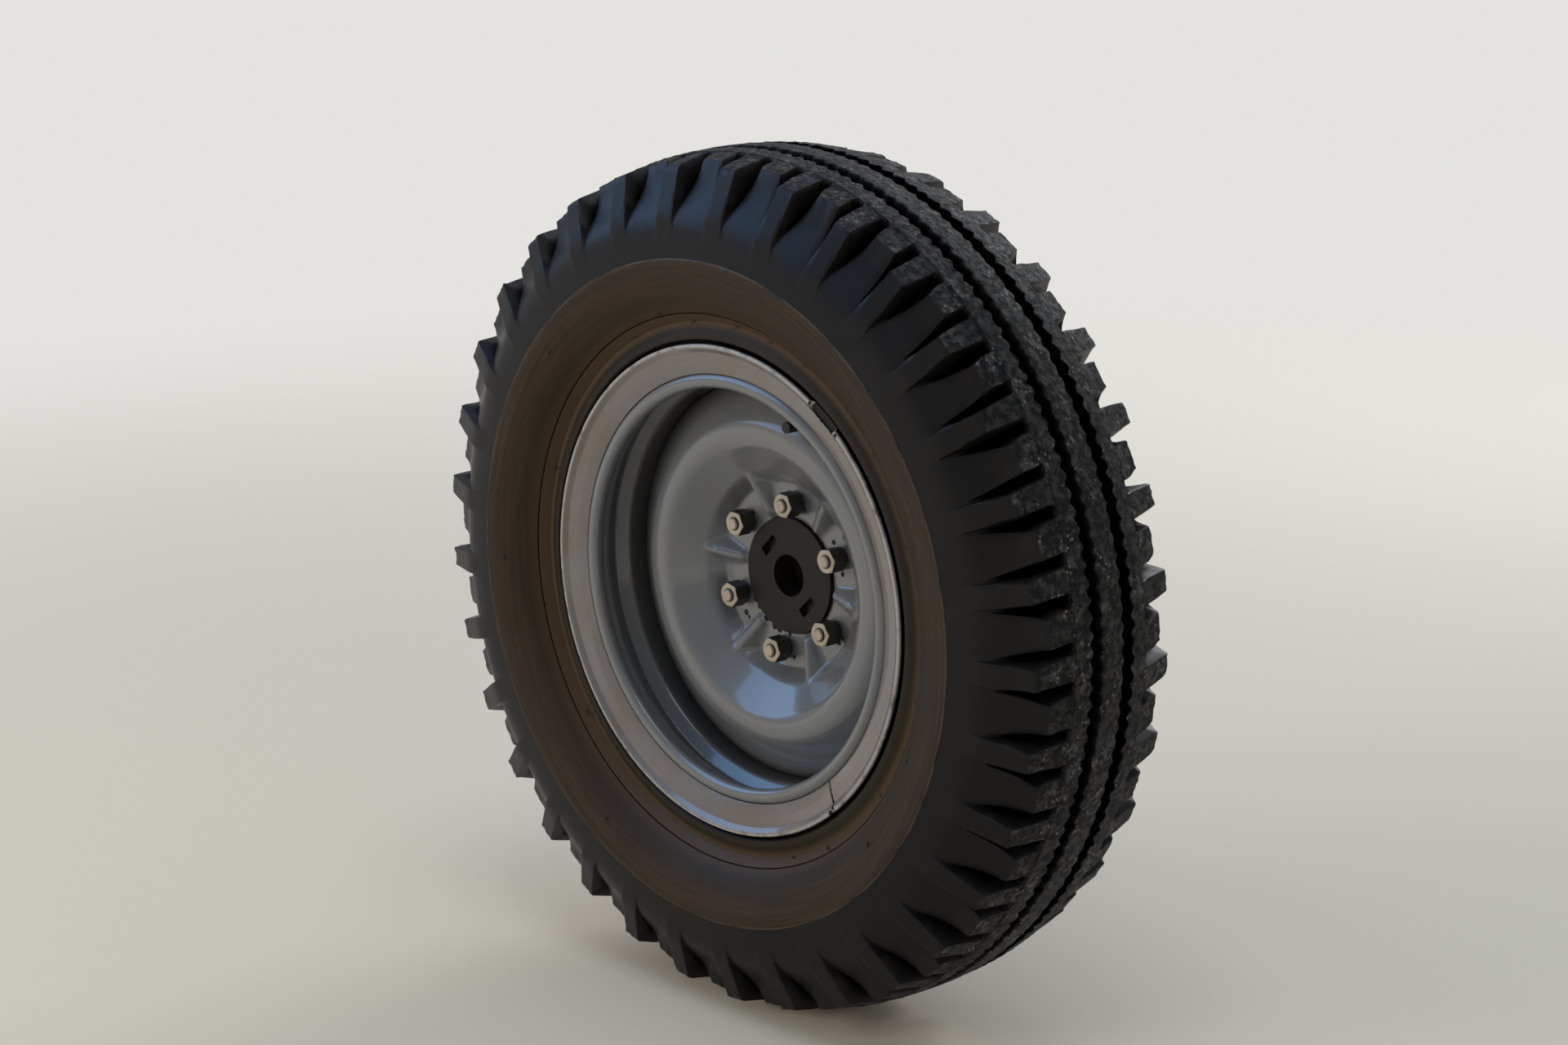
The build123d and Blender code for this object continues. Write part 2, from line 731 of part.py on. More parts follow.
# Spring seat: saddle under the tube for the leaf spring
with BuildPart() as spring_seat:
    with BuildSketch(station(spring_plane + seat_width / 2)):
        with Locations((0, -seat_drop + seat_plate / 2)):
            Rectangle(seat_length, seat_plate)
        with BuildLine():
            Polyline(
                (-seat_length / 2 + 14.0, -seat_drop + seat_plate),
                (seat_length / 2 - 14.0, -seat_drop + seat_plate),
                (tube_outer_radius + 6.0, -8.0),
                (-tube_outer_radius - 6.0, -8.0),
                close=True,
            )
        make_face()
        Circle(tube_outer_radius + push_fit, mode=Mode.SUBTRACT)
    extrude(amount=seat_width)
    with BuildSketch(Plane.XY.offset(-seat_drop + seat_plate)):
        with Locations((0, spring_plane)):
            Rectangle(2 * seat_length, seat_width - 2 * seat_web)
    extrude(amount=seat_drop, mode=Mode.SUBTRACT)
    with BuildSketch(Plane.XY.offset(-seat_drop)):
        with Locations((0, spring_plane)):
            Circle(seat_bolt_radius)
    extrude(amount=seat_plate, mode=Mode.SUBTRACT)
finish(spring_seat, "spring_seat")


# Brake fittings on the inboard side of the backing plate
with BuildPart() as wheel_cylinder:
    with BuildSketch(station(backplate_back + cylinder_boss_length)):
        with Locations((0, cylinder_height)):
            SlotCenterToCenter(cylinder_boss_spacing, 2 * cylinder_boss_radius)
    extrude(amount=cylinder_boss_length)
finish(wheel_cylinder, "wheel_cylinder")

union_x = cylinder_boss_spacing / 2
boss_back = backplate_back + cylinder_boss_length
union_back = boss_back + union_length

with BuildPart() as pipe_union:
    with BuildSketch(station(union_back)):
        with Locations((union_x, cylinder_height)):
            RegularPolygon(union_flats / 2, 6, major_radius=False)
            Circle(pipe_radius + push_fit, mode=Mode.SUBTRACT)
    extrude(amount=union_length)
finish(pipe_union, "pipe_union")

with BuildPart() as bleed_screw:
    with BuildSketch(station(boss_back + bleed_length / 2)):
        with Locations((-union_x, cylinder_height)):
            RegularPolygon(bleed_flats / 2, 6, major_radius=False)
    extrude(amount=bleed_length / 2)
    with BuildSketch(station(boss_back + bleed_length)):
        with Locations((-union_x, cylinder_height)):
            Circle(bleed_flats / 2 - 1.5)
    extrude(amount=bleed_length / 2)
finish(bleed_screw, "bleed_screw")

for i, adjuster_angle in enumerate(adjuster_angles, start=1):
    with BuildPart() as adjuster:
        with BuildSketch(station(backplate_back + adjuster_length)):
            with Locations(spot(adjuster_radius_from_axis, adjuster_angle)):
                RegularPolygon(adjuster_flats / 2, 6, major_radius=False)
        extrude(amount=adjuster_length)
    finish(adjuster, f"brake_adjuster_{i}")

# Brake pipe: from the union inboard, down to the top of the tube and along it
pipe_rest = tube_outer_radius + clip_sheet + pipe_radius + push_fit
pipe_turn = backplate_back + housing_end_length + housing_taper_length + 10.0

with BuildPart() as brake_pipe:
    with BuildLine() as pipe_path:
        FilletPolyline(
            (union_x, boss_back + push_fit, cylinder_height),
            (union_x, union_back + 1.6 * pipe_bend, cylinder_height),
            (0, pipe_turn, pipe_rest),
            (0, -pipe_end, pipe_rest),
            radius=pipe_bend,
        )
    with BuildSketch(station(boss_back + push_fit)):
        with Locations((union_x, cylinder_height)):
            Circle(pipe_radius)
    sweep()
finish(brake_pipe, "brake_pipe")

for i, clip_place in enumerate(pipe_clip_places, start=1):
    with BuildPart() as pipe_clip:
        with BuildSketch(station(-clip_place + clip_width / 2)):
            Circle(tube_outer_radius + push_fit + clip_sheet)
            with Locations((0, pipe_rest)):
                Circle(pipe_radius + push_fit + clip_sheet)
                Circle(pipe_radius + push_fit, mode=Mode.SUBTRACT)
            Circle(tube_outer_radius + push_fit, mode=Mode.SUBTRACT)
        extrude(amount=clip_width)
    finish(pipe_clip, f"pipe_clip_{i}")
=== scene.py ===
"""Looks of a rear wheel on its brake drum and axle end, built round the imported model.

Metres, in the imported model's frame: +X is forward, +Y inboard along the axle, +Z up.
Sizes of the pieces are given in millimetres and turned into metres where a mesh is placed.
"""

import logging
import math
from bisect import bisect_right
from collections.abc import Callable
from dataclasses import dataclass
from enum import Enum
from functools import partial

import bmesh
import bpy
from mathutils import Matrix, Vector, noise


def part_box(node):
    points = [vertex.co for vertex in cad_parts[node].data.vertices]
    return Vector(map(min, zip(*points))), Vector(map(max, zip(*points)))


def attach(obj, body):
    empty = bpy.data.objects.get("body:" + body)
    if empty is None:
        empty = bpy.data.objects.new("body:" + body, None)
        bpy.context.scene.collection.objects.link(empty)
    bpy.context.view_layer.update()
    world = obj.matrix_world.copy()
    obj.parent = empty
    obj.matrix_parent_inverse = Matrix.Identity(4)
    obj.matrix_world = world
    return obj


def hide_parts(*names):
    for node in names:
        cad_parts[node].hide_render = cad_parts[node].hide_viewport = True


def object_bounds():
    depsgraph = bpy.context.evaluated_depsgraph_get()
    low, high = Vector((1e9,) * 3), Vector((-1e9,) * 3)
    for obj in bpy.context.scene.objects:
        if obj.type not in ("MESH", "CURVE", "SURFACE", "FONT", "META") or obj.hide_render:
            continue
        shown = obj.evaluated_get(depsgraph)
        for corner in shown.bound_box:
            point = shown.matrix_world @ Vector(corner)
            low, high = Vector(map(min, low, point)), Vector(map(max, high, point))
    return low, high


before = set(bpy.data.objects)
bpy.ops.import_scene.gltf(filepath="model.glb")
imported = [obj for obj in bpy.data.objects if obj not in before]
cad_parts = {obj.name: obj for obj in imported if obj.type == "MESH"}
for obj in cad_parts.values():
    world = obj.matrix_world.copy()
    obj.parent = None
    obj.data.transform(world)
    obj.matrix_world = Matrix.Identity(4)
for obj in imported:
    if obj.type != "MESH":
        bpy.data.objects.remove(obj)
CAD_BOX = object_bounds()

LOG = logging.getLogger("wheel")
MM = 0.001
TYRE_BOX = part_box("tyre")
WHEEL_PLANE = (TYRE_BOX[0].y + TYRE_BOX[1].y) / 2
WHEEL = "wheel"
AXLE = "axle"

Colour = tuple[float, float, float, float]
# x, y, z and reach of each chipped place, in millimetres
Chips = tuple[tuple[float, float, float, float], ...]
# a radius with a distance from the middle plane, or the two ends of a range
Span = tuple[float, float]
Material = bpy.types.Material
Node = bpy.types.Node
Piece = bpy.types.Object
Shape = bmesh.types.BMesh
Socket = bpy.types.NodeSocket
Tree = bpy.types.NodeTree
Value = "float | Colour | Socket"


class Slot(Enum):
    """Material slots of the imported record."""

    TYRE = "tyre_rubber"
    WHEEL = "wheel_paint"
    RING = "ring_paint"
    NUT = "nut_steel"
    DRUM = "drum_iron"
    BOSS = "boss_paint"
    AXLE = "axle_paint"
    BEARING = "bearing_steel"
    PIPE = "pipe_steel"
    BRASS = "brass"
    VALVE = "valve_rubber"


def swatch(red: int, green: int, blue: int) -> Colour:
    """Linear colour with full alpha, from screen values between 0 and 255."""

    def linear(level: int) -> float:
        share = level / 255
        return share / 12.92 if share <= 0.04045 else ((share + 0.055) / 1.055) ** 2.4

    return (linear(red), linear(green), linear(blue), 1.0)


# Shader nodes


class Bench:
    """A node tree with short calls that add nodes and wire them."""

    def __init__(self, tree: Tree) -> None:
        """Keeps the tree that the nodes go into."""
        self.tree = tree

    def feed(self, socket: Socket, value: Value) -> None:
        """Links a socket to another one, or sets its value.

        Args:
            socket: The input to feed.
            value: A socket, a number, a colour or a vector.
        """
        if isinstance(value, Socket):
            self.tree.links.new(value, socket)
        else:
            socket.default_value = value

    def node(self, kind: str, inputs: dict | None = None, **settings: object) -> Node:
        """Adds a node.

        Args:
            kind: The node's type name without its leading ShaderNode.
            inputs: Values or sockets for its inputs, by name or index.
            settings: Attributes of the node.

        Returns:
            The new node.
        """
        made = self.tree.nodes.new("ShaderNode" + kind)
        for name, value in settings.items():
            setattr(made, name, value)
        self.fill(made, inputs or {})
        return made

    def fill(self, node: Node, inputs: dict) -> None:
        """Feeds several inputs of a node."""
        for name, value in inputs.items():
            self.feed(node.inputs[name], value)

    def maths(self, operation: str, first: Value, second: Value) -> Socket:
        """Result of a Math node."""
        return self.node("Math", {0: first, 1: second}, operation=operation).outputs[0]

    def times(self, first: Value, second: Value) -> Socket:
        """Product of two numbers."""
        return self.maths("MULTIPLY", first, second)

    def less(self, first: Value, second: Value) -> Socket:
        """First number less the second."""
        return self.maths("SUBTRACT", first, second)

    def most(self, first: Value, second: Value) -> Socket:
        """Larger of two numbers."""
        return self.maths("MAXIMUM", first, second)

    def ease(self, value: Value, low: float, high: float) -> Socket:
        """Smooth step from 0 at low to 1 at high; low may be the larger."""
        inputs = {"Value": value, "From Min": low, "From Max": high}
        return self.node("MapRange", inputs, interpolation_type="SMOOTHSTEP").outputs["Result"]

    def band(self, distance: Value, start: float, end: float) -> Socket:
        """Smooth step from 0 to 1 between two distances in millimetres."""
        return self.ease(distance, start * MM, end * MM)

    def blend(self, share: Value, first: Value, second: Value) -> Socket:
        """Colour between two colours."""
        return self.node("Mix", {0: share, 6: first, 7: second}, data_type="RGBA").outputs[2]

    def level(self, share: Value, first: Value, second: Value) -> Socket:
        """Number between two numbers."""
        return self.node("Mix", {0: share, 2: first, 3: second}, data_type="FLOAT").outputs[0]

    def cloud(self, where: Value, scale: Value, detail: float = 4.0, rough: float = 0.55) -> Socket:
        """Factor of a noise texture."""
        inputs = {"Vector": where, "Scale": scale, "Detail": detail, "Roughness": rough}
        return self.node("TexNoise", inputs).outputs[0]

    def stored(self, name: str) -> Socket:
        """Number that a piece stores at each of its points."""
        return self.node("Attribute", attribute_name=name).outputs["Fac"]

    def effect(self, group: Tree, **inputs: Value) -> Node:
        """Places a shared node group with its own values."""
        named = {name.capitalize(): value for name, value in inputs.items()}
        return self.node("Group", named, node_tree=group)

    def mask(self, group: Tree, **inputs: Value) -> Socket:
        """First output of a shared node group with its own values."""
        return self.effect(group, **inputs).outputs[0]


def new_group(name: str, inputs: dict, outputs: dict) -> tuple[Bench, Node, Node]:
    """Starts a shader node group.

    Args:
        name: Name of the group.
        inputs: Name and value of each number; None makes a vector.
        outputs: Name of each output, with 0.0 for a number and None for a vector.

    Returns:
        The bench of the group, its input node and its output node.
    """
    tree = bpy.data.node_groups.new(name, "ShaderNodeTree")
    for way, sockets in (("INPUT", inputs), ("OUTPUT", outputs)):
        for label, value in sockets.items():
            kind = "NodeSocketVector" if value is None else "NodeSocketFloat"
            socket = tree.interface.new_socket(label, in_out=way, socket_type=kind)
            if value is not None:
                socket.default_value = value
    return Bench(tree), tree.nodes.new("NodeGroupInput"), tree.nodes.new("NodeGroupOutput")


class Effects:
    """Node groups that several materials share."""

    def __init__(self) -> None:
        """Builds each group once."""
        self.polar = self.make_polar()
        self.dust = self.make_dust()
        self.chips = self.make_chips()
        self.grain = self.make_grain()

    @staticmethod
    def make_polar() -> Tree:
        """Places round the wheel: radius, distance outboard, and where a face looks."""
        numbers = dict.fromkeys(("Radius", "Outboard", "Outwards", "Sideways"), 0.0)
        outputs = numbers | dict.fromkeys(("Streak", "Place"))
        bench, _, out = new_group("Wheel polar", {}, outputs)
        coordinate = bench.node("TexCoord")
        parts = bench.node("SeparateXYZ", {0: coordinate.outputs["Object"]})
        flat = bench.node("CombineXYZ", {0: parts.outputs[0], 2: parts.outputs[2]})
        radius = bench.node("VectorMath", {0: flat.outputs[0]}, operation="LENGTH").outputs["Value"]
        away = bench.node("VectorMath", {0: flat.outputs[0]}, operation="NORMALIZE").outputs[0]
        facing = {0: away, 1: coordinate.outputs["Normal"]}
        outwards = bench.node("VectorMath", facing, operation="DOT_PRODUCT").outputs["Value"]
        turned = bench.node("SeparateXYZ", {0: away})
        rings = bench.times(radius, 90.0)
        streak = bench.node("CombineXYZ", {0: turned.outputs[0], 1: rings, 2: turned.outputs[2]})
        looks = bench.node("SeparateXYZ", {0: coordinate.outputs["Normal"]})
        values = {
            "Radius": radius,
            "Outboard": bench.less(WHEEL_PLANE, parts.outputs[1]),
            "Outwards": outwards,
            "Sideways": bench.times(looks.outputs[1], -1.0),
            "Streak": streak.outputs[0],
            "Place": coordinate.outputs["Object"],
        }
        bench.fill(out, values)
        return bench.tree

    @staticmethod
    def make_dust() -> Tree:
        """Uneven film of dust: large patches broken up by small ones."""
        inputs = {"Place": None, "Amount": 0.5, "Scale": 9.0}
        bench, given, out = new_group("Dust film", inputs, {"Mask": 0.0})
        place = given.outputs["Place"]
        patch = bench.cloud(place, given.outputs["Scale"], 5.0, 0.5)
        fine = bench.cloud(place, 240.0, 3.0, 0.7)
        both = bench.maths("ADD", patch, bench.times(fine, 0.35))
        mask = bench.ease(both, 0.45, 1.0)
        bench.feed(out.inputs["Mask"], bench.times(mask, given.outputs["Amount"]))
        return bench.tree

    @staticmethod
    def make_chips() -> Tree:
        """Small ragged chips. Spread 0 has none and 1 has many."""
        inputs = {"Place": None, "Spread": 0.1, "Scale": 120.0}
        bench, given, out = new_group("Paint chips", inputs, {"Mask": 0.0})
        place = given.outputs["Place"]
        ragged = bench.cloud(place, given.outputs["Scale"], 6.0, 0.62)
        edge = bench.less(0.86, bench.times(given.outputs["Spread"], 0.5))
        over = bench.ease(bench.less(ragged, edge), 0.0, 0.012)
        here = bench.ease(given.outputs["Spread"], 0.0, 0.1)
        bench.feed(out.inputs["Mask"], bench.times(over, here))
        return bench.tree

    @staticmethod
    def make_grain() -> Tree:
        """Height of a fine surface grain with a coarser one under it."""
        inputs = {"Place": None, "Scale": 400.0, "Coarse": 0.3}
        bench, given, out = new_group("Surface grain", inputs, {"Height": 0.0})
        place = given.outputs["Place"]
        fine = bench.cloud(place, given.outputs["Scale"], 3.0, 0.5)
        slow = bench.times(bench.cloud(place, 45.0, 3.0), given.outputs["Coarse"])
        bench.feed(out.inputs["Height"], bench.maths("ADD", fine, slow))
        return bench.tree


# Finishes


@dataclass(frozen=True)
class Finish:
    """What all finishes share: a name and the way a material is begun and closed."""

    name: str

    def begin(self) -> tuple[Material, Bench, Node]:
        """Starts a material and gives its bench and its Principled BSDF."""
        material = bpy.data.materials.new(self.name)
        material.use_nodes = True
        bench = Bench(material.node_tree)
        return material, bench, material.node_tree.nodes["Principled BSDF"]

    @staticmethod
    def roughen(bench: Bench, shader: Node, height: Value, strength: float, depth: float) -> None:
        """Feeds a height into the shader's normal.

        Args:
            bench: The material's bench.
            shader: The Principled BSDF.
            height: Height from 0 to 1.
            strength: Strength of the bump.
            depth: Depth of the bump in metres.
        """
        bump = bench.node("Bump", {"Height": height, "Strength": strength, "Distance": depth})
        bench.feed(shader.inputs["Normal"], bump.outputs["Normal"])


@dataclass(frozen=True)
class TyreRubber(Finish):
    """Aged rubber: black flanks, a brown film on the side wall, a grey worn tread with specks, with
    painted shade in slots, grooves and beside the ring, and painted light on the side wall.
    """

    flank: Colour = swatch(19, 18, 18)
    side: Colour = swatch(53, 39, 26)
    side_shade: Colour = swatch(37, 29, 20)
    # pale colour of the painted highlight on the side wall's upper edge
    edge_highlight: Colour = swatch(74, 63, 52)
    # painted light: a paler band at the foot of the side wall
    foot: Colour = swatch(80, 62, 44)
    tread: Colour = swatch(62, 60, 59)
    tread_shade: Colour = swatch(21, 20, 20)
    # near-black painted shade for deep slots, grooves and the gap beside the ring
    cavity_shade: Colour = swatch(6, 6, 6)
    dust: Colour = swatch(60, 53, 45)
    patch: Colour = swatch(86, 83, 80)
    speck: Colour = swatch(128, 124, 119)
    side_radius: float = 302.4
    tread_radius: float = 381.0
    # millimetres from the axle where a tint starts and where it is full
    edge_band: Span = (362.0, 384.0)
    worn_band: Span = (238.0, 297.0)
    # the foot bands place the painted light at the foot of the side wall
    foot_light_inside: Span = (236.0, 243.0)
    foot_light_outside: Span = (262.0, 250.0)
    # the rim band places painted shade beside the ring
    rim_shade_band: Span = (230.5, 226.5)
    specular: float = 0.19

    def build(self, effects: Effects) -> Material:
        """Builds the material."""
        material, bench, shader = self.begin()
        polar = bench.effect(effects.polar)
        radius, place = polar.outputs["Radius"], polar.outputs["Place"]
        side = bench.band(radius, self.side_radius + 0.5, self.side_radius - 0.5)
        outer = bench.band(radius, self.tread_radius, self.tread_radius + 3)
        crown = bench.times(outer, bench.ease(polar.outputs["Outwards"], 0.55, 0.8))
        film = bench.mask(effects.dust, place=place, amount=0.8, scale=7.0)
        heavy = bench.mask(effects.dust, place=place, amount=1.0, scale=26.0)
        near_edge = bench.times(bench.band(radius, *self.edge_band), 0.12)
        colour = bench.blend(bench.times(film, 0.22), self.flank, self.side)
        colour = bench.blend(bench.times(heavy, near_edge), colour, self.dust)
        colour = bench.blend(side, colour, self.side_tint(bench, polar, film))
        # painted highlight along the upper edge of the side wall
        colour = bench.blend(self.edge_highlight_share(bench, polar), colour, self.edge_highlight)
        pebbles = bench.node("TexVoronoi", {"Vector": place, "Scale": 200.0}, feature="F1")
        pebbles = pebbles.outputs["Distance"]
        mottle = bench.cloud(place, 140.0, 4.0, 0.7)
        colour = bench.blend(crown, colour, self.tread_tint(bench, place, pebbles, mottle))
        # painted shade: deep points of slots and grooves turn near black, rough and metallic so
        # that they shine less
        cavity_shade = bench.ease(bench.stored("depth"), 0.25, 0.9)
        rough = bench.level(bench.cloud(place, 18.0, 4.0), 0.32, 0.46)
        rough = bench.level(side, rough, 0.5)
        rough = bench.level(crown, rough, bench.level(mottle, 0.75, 0.4))
        values = {
            "Base Color": bench.blend(cavity_shade, colour, self.cavity_shade),
            "Roughness": bench.level(cavity_shade, rough, 0.95),
            "Metallic": bench.times(cavity_shade, 0.9),
            "Specular IOR Level": self.specular,
        }
        bench.fill(shader, values)
        fine = bench.mask(effects.grain, place=place, scale=900.0, coarse=0.4)
        pitted = bench.times(bench.cloud(place, 190.0, 6.0, 0.75), 3.0)
        pitted = bench.less(pitted, bench.times(pebbles, 1.6))
        height = bench.level(crown, bench.times(fine, 0.1), pitted)
        self.roughen(bench, shader, height, 0.8, 0.0018)
        return material

    def side_tint(self, bench: Bench, polar: Node, film: Value) -> Socket:
        """Brown of the side wall: scuffed, paler at its foot with painted light, and dark beside
        the rim with painted shade.
        """
        radius = polar.outputs["Radius"]
        scuffs = bench.ease(bench.cloud(polar.outputs["Streak"], 2.6, 5.0, 0.6), 0.35, 0.68)
        scuffs = bench.times(scuffs, bench.band(radius, *self.worn_band))
        tint = bench.blend(scuffs, self.side_shade, self.side)
        tint = bench.blend(bench.times(film, 0.35), tint, self.dust)
        # painted pool of light at the foot of the side wall
        outside = bench.band(radius, *self.foot_light_outside)
        foot_light = bench.times(outside, bench.band(radius, *self.foot_light_inside))
        tint = bench.blend(bench.times(foot_light, 0.6), tint, self.foot)
        # painted shade beside the ring
        return bench.blend(bench.band(radius, *self.rim_shade_band), tint, self.cavity_shade)

    def edge_highlight_share(self, bench: Bench, polar: Node) -> Socket:
        """Painted highlight: a broken pale line along the upper edge of the side wall."""
        radius = polar.outputs["Radius"]
        inside = bench.band(radius, self.side_radius - 1.2, self.side_radius - 0.4)
        outside = bench.band(radius, self.side_radius + 1.1, self.side_radius + 0.3)
        broken = bench.ease(bench.cloud(polar.outputs["Place"], 30.0, 4.0), 0.3, 0.6)
        return bench.times(bench.times(inside, outside), broken)

    def tread_tint(self, bench: Bench, place: Value, pebbles: Value, mottle: Value) -> Socket:
        """Grey of the worn tread, with paler patches and single pale specks."""
        tint = bench.blend(bench.ease(mottle, 0.42, 0.62), self.tread_shade, self.tread)
        spots = bench.ease(pebbles, 0.34, 0.2)
        sparse = bench.ease(bench.cloud(place, 42.0, 4.0, 0.7), 0.5, 0.6)
        tint = bench.blend(bench.times(sparse, bench.ease(mottle, 0.45, 0.6)), tint, self.patch)
        return bench.blend(bench.times(spots, sparse), tint, self.speck)


@dataclass(frozen=True)
class Paint(Finish):
    """Old brushed and sprayed paint with a dull gloss, dust, and chips in chosen places; where
    given, painted shade with dirt deep in the barrel and painted shade in the gaps at the disc's
    edge.
    """

    base: Colour = swatch(98, 101, 104)
    shade: Colour = swatch(84, 89, 95)
    dust: Colour = swatch(114, 105, 90)
    under: Colour = swatch(34, 29, 25)
    worn: Colour = swatch(158, 154, 149)
    worn_radius: float = 0.0
    stain: Colour | None = None
    shade_and_dirt: Colour | None = None
    # near-black painted shade for the gaps at the disc's edge
    gap_shade: Colour = swatch(13, 12, 11)
    roughness: float = 0.3
    specular: float = 0.5
    coat: float = 0.9
    dust_amount: float = 0.4
    chip_spread: float = 0.18
    chip_cover: float = 1.15
    chip_places: Chips = ()
    # millimetres outboard and from the axle where the painted shade and dirt start and where they
    # are full
    shade_depth: Span = (52.0, 30.0)
    shade_reach: Span = (172.0, 184.0)
    # roughness of the clear gloss, and depth of the paint's bump in metres
    coat_roughness: float = 0.09
    peel_depth: float = 0.0004

    def build(self, effects: Effects) -> Material:
        """Builds the material."""
        material, bench, shader = self.begin()
        polar = bench.effect(effects.polar)
        place = polar.outputs["Place"]
        colour = bench.blend(bench.cloud(place, 5.0, 5.0, 0.6), self.base, self.shade)
        film = bench.mask(effects.dust, place=place, amount=self.dust_amount, scale=11.0)
        colour = bench.blend(film, colour, self.dust)
        # painted shade, with some dirt, deep in the barrel
        if self.shade_and_dirt:
            deep = bench.band(polar.outputs["Outboard"], *self.shade_depth)
            deep = bench.times(deep, bench.band(polar.outputs["Radius"], *self.shade_reach))
            deep = bench.times(deep, bench.level(film, 0.6, 0.85))
            colour = bench.blend(deep, colour, self.shade_and_dirt)
            # painted shade in the gaps between the disc's edge and the barrel
            colour = bench.blend(bench.ease(bench.stored("depth"), 0.1, 0.9), colour, self.gap_shade)
        if self.stain:
            soaked = bench.ease(bench.cloud(place, 16.0, 6.0, 0.7), 0.46, 0.68)
            colour = bench.blend(bench.times(soaked, 0.75), colour, self.stain)
        if self.worn_radius:
            brightened = bench.band(polar.outputs["Radius"], self.worn_radius - 5, self.worn_radius)
            broken = bench.times(brightened, bench.ease(bench.cloud(place, 60.0, 5.0), 0.34, 0.5))
            colour = bench.blend(broken, colour, self.worn)
        chips = self.chip_share(bench, effects, place)
        colour = bench.blend(chips, colour, self.under)
        rough = bench.level(film, self.roughness, 0.7)
        values = {
            "Base Color": colour,
            "Roughness": bench.level(chips, rough, 0.85),
            "Specular IOR Level": self.specular,
            "Coat Weight": bench.times(bench.less(1.0, chips), self.coat),
            "Coat Roughness": self.coat_roughness,
        }
        bench.fill(shader, values)
        peel = bench.mask(effects.grain, place=place, scale=210.0, coarse=0.8)
        peel = bench.less(peel, bench.times(chips, 1.5))
        self.roughen(bench, shader, peel, 0.25, self.peel_depth)
        return material

    def chip_share(self, bench: Bench, effects: Effects, place: Value) -> Socket:
        """Chips all over, and more of them round the chosen places."""
        chips = bench.mask(effects.chips, place=place, spread=self.chip_spread, scale=150.0)
        near = None
        for x, y, z, reach in self.chip_places:
            ends = {0: place, 1: (x * MM, y * MM, z * MM)}
            gap = bench.node("VectorMath", ends, operation="DISTANCE").outputs["Value"]
            here = bench.band(gap, reach, 0.35 * reach)
            near = bench.most(near, here) if near else here
        if not near:
            return chips
        spread = bench.times(near, self.chip_cover)
        more = bench.mask(effects.chips, place=place, spread=spread, scale=190.0)
        return bench.most(chips, more)


@dataclass(frozen=True)
class Metal(Finish):
    """Bare, plated or cast metal with tarnish. Faces that look outboard can be given a lighter
    colour, a painted reflection.
    """

    base: Colour = swatch(170, 160, 146)
    tarnish: Colour = swatch(92, 80, 68)
    brightened: Colour | None = None
    metallic: float = 0.8
    roughness: float = 0.42
    grime: float = 0.5
    grain_scale: float = 500.0
    bump: float = 0.2

    def build(self, effects: Effects) -> Material:
        """Builds the material."""
        material, bench, shader = self.begin()
        polar = bench.effect(effects.polar)
        place = polar.outputs["Place"]
        film = bench.mask(effects.dust, place=place, amount=self.grime, scale=60.0)
        colour = self.base
        # painted reflection: faces that look outboard are lighter than the sides
        if self.brightened:
            faces = bench.ease(polar.outputs["Sideways"], 0.55, 0.85)
            colour = bench.blend(faces, self.base, self.brightened)
        values = {
            "Base Color": bench.blend(film, colour, self.tarnish),
            "Metallic": bench.level(film, self.metallic, self.metallic * 0.3),
            "Roughness": bench.level(film, self.roughness, 0.8),
        }
        bench.fill(shader, values)
        grain = bench.mask(effects.grain, place=place, scale=self.grain_scale, coarse=0.6)
        self.roughen(bench, shader, grain, self.bump, 0.0005)
        return material


# Meshes


def show(name: str, data: bpy.types.ID) -> Piece:
    """Puts a mesh, a lamp or a camera into the scene."""
    shown = bpy.data.objects.new(name, data)
    bpy.context.scene.collection.objects.link(shown)
    return shown


def aim(shown: Piece, place: Vector, way: Vector) -> None:
    """Places a lamp or a camera and lets it look along a direction."""
    shown.location = place
    shown.rotation_mode = "QUATERNION"
    shown.rotation_quaternion = way.to_track_quat("-Z", "Y")


def settle(mesh: Shape, name: str) -> bpy.types.Mesh:
    """Turns a bmesh into a mesh and frees it."""
    data = bpy.data.meshes.new(name)
    mesh.to_mesh(data)
    mesh.free()
    return data


def finish_piece(
    mesh: Shape, name: str, material: Material, body: str, slot: Slot,
    replaced: tuple[str, ...] = (), crease: float = 35.0,
) -> Piece:
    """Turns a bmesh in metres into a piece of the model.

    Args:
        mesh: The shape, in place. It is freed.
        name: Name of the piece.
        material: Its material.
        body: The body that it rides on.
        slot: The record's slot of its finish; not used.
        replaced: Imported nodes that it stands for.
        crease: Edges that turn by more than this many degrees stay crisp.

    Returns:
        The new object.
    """
    for face in mesh.faces:
        face.smooth = True
    for edge in mesh.edges:
        edge.smooth = edge.calc_face_angle(0.0) < math.radians(crease)
    data = settle(mesh, name)
    data.materials.append(material)
    piece = show(name, data)
    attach(piece, body)
    if replaced:
        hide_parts(*replaced)
    LOG.info("%s: %d faces on %s", name, len(data.polygons), body)
    return piece


def on_wheel(radius: float, angle: float, outboard: float) -> Vector:
    """Point of the wheel in metres.

    Args:
        radius: Distance from the axle in millimetres.
        angle: Radians above the forward axis.
        outboard: Millimetres outboard of the wheel's middle plane.

    Returns:
        The point in the model's frame.
    """
    reach = radius * MM
    return Vector((reach * math.cos(angle), WHEEL_PLANE - outboard * MM, reach * math.sin(angle)))


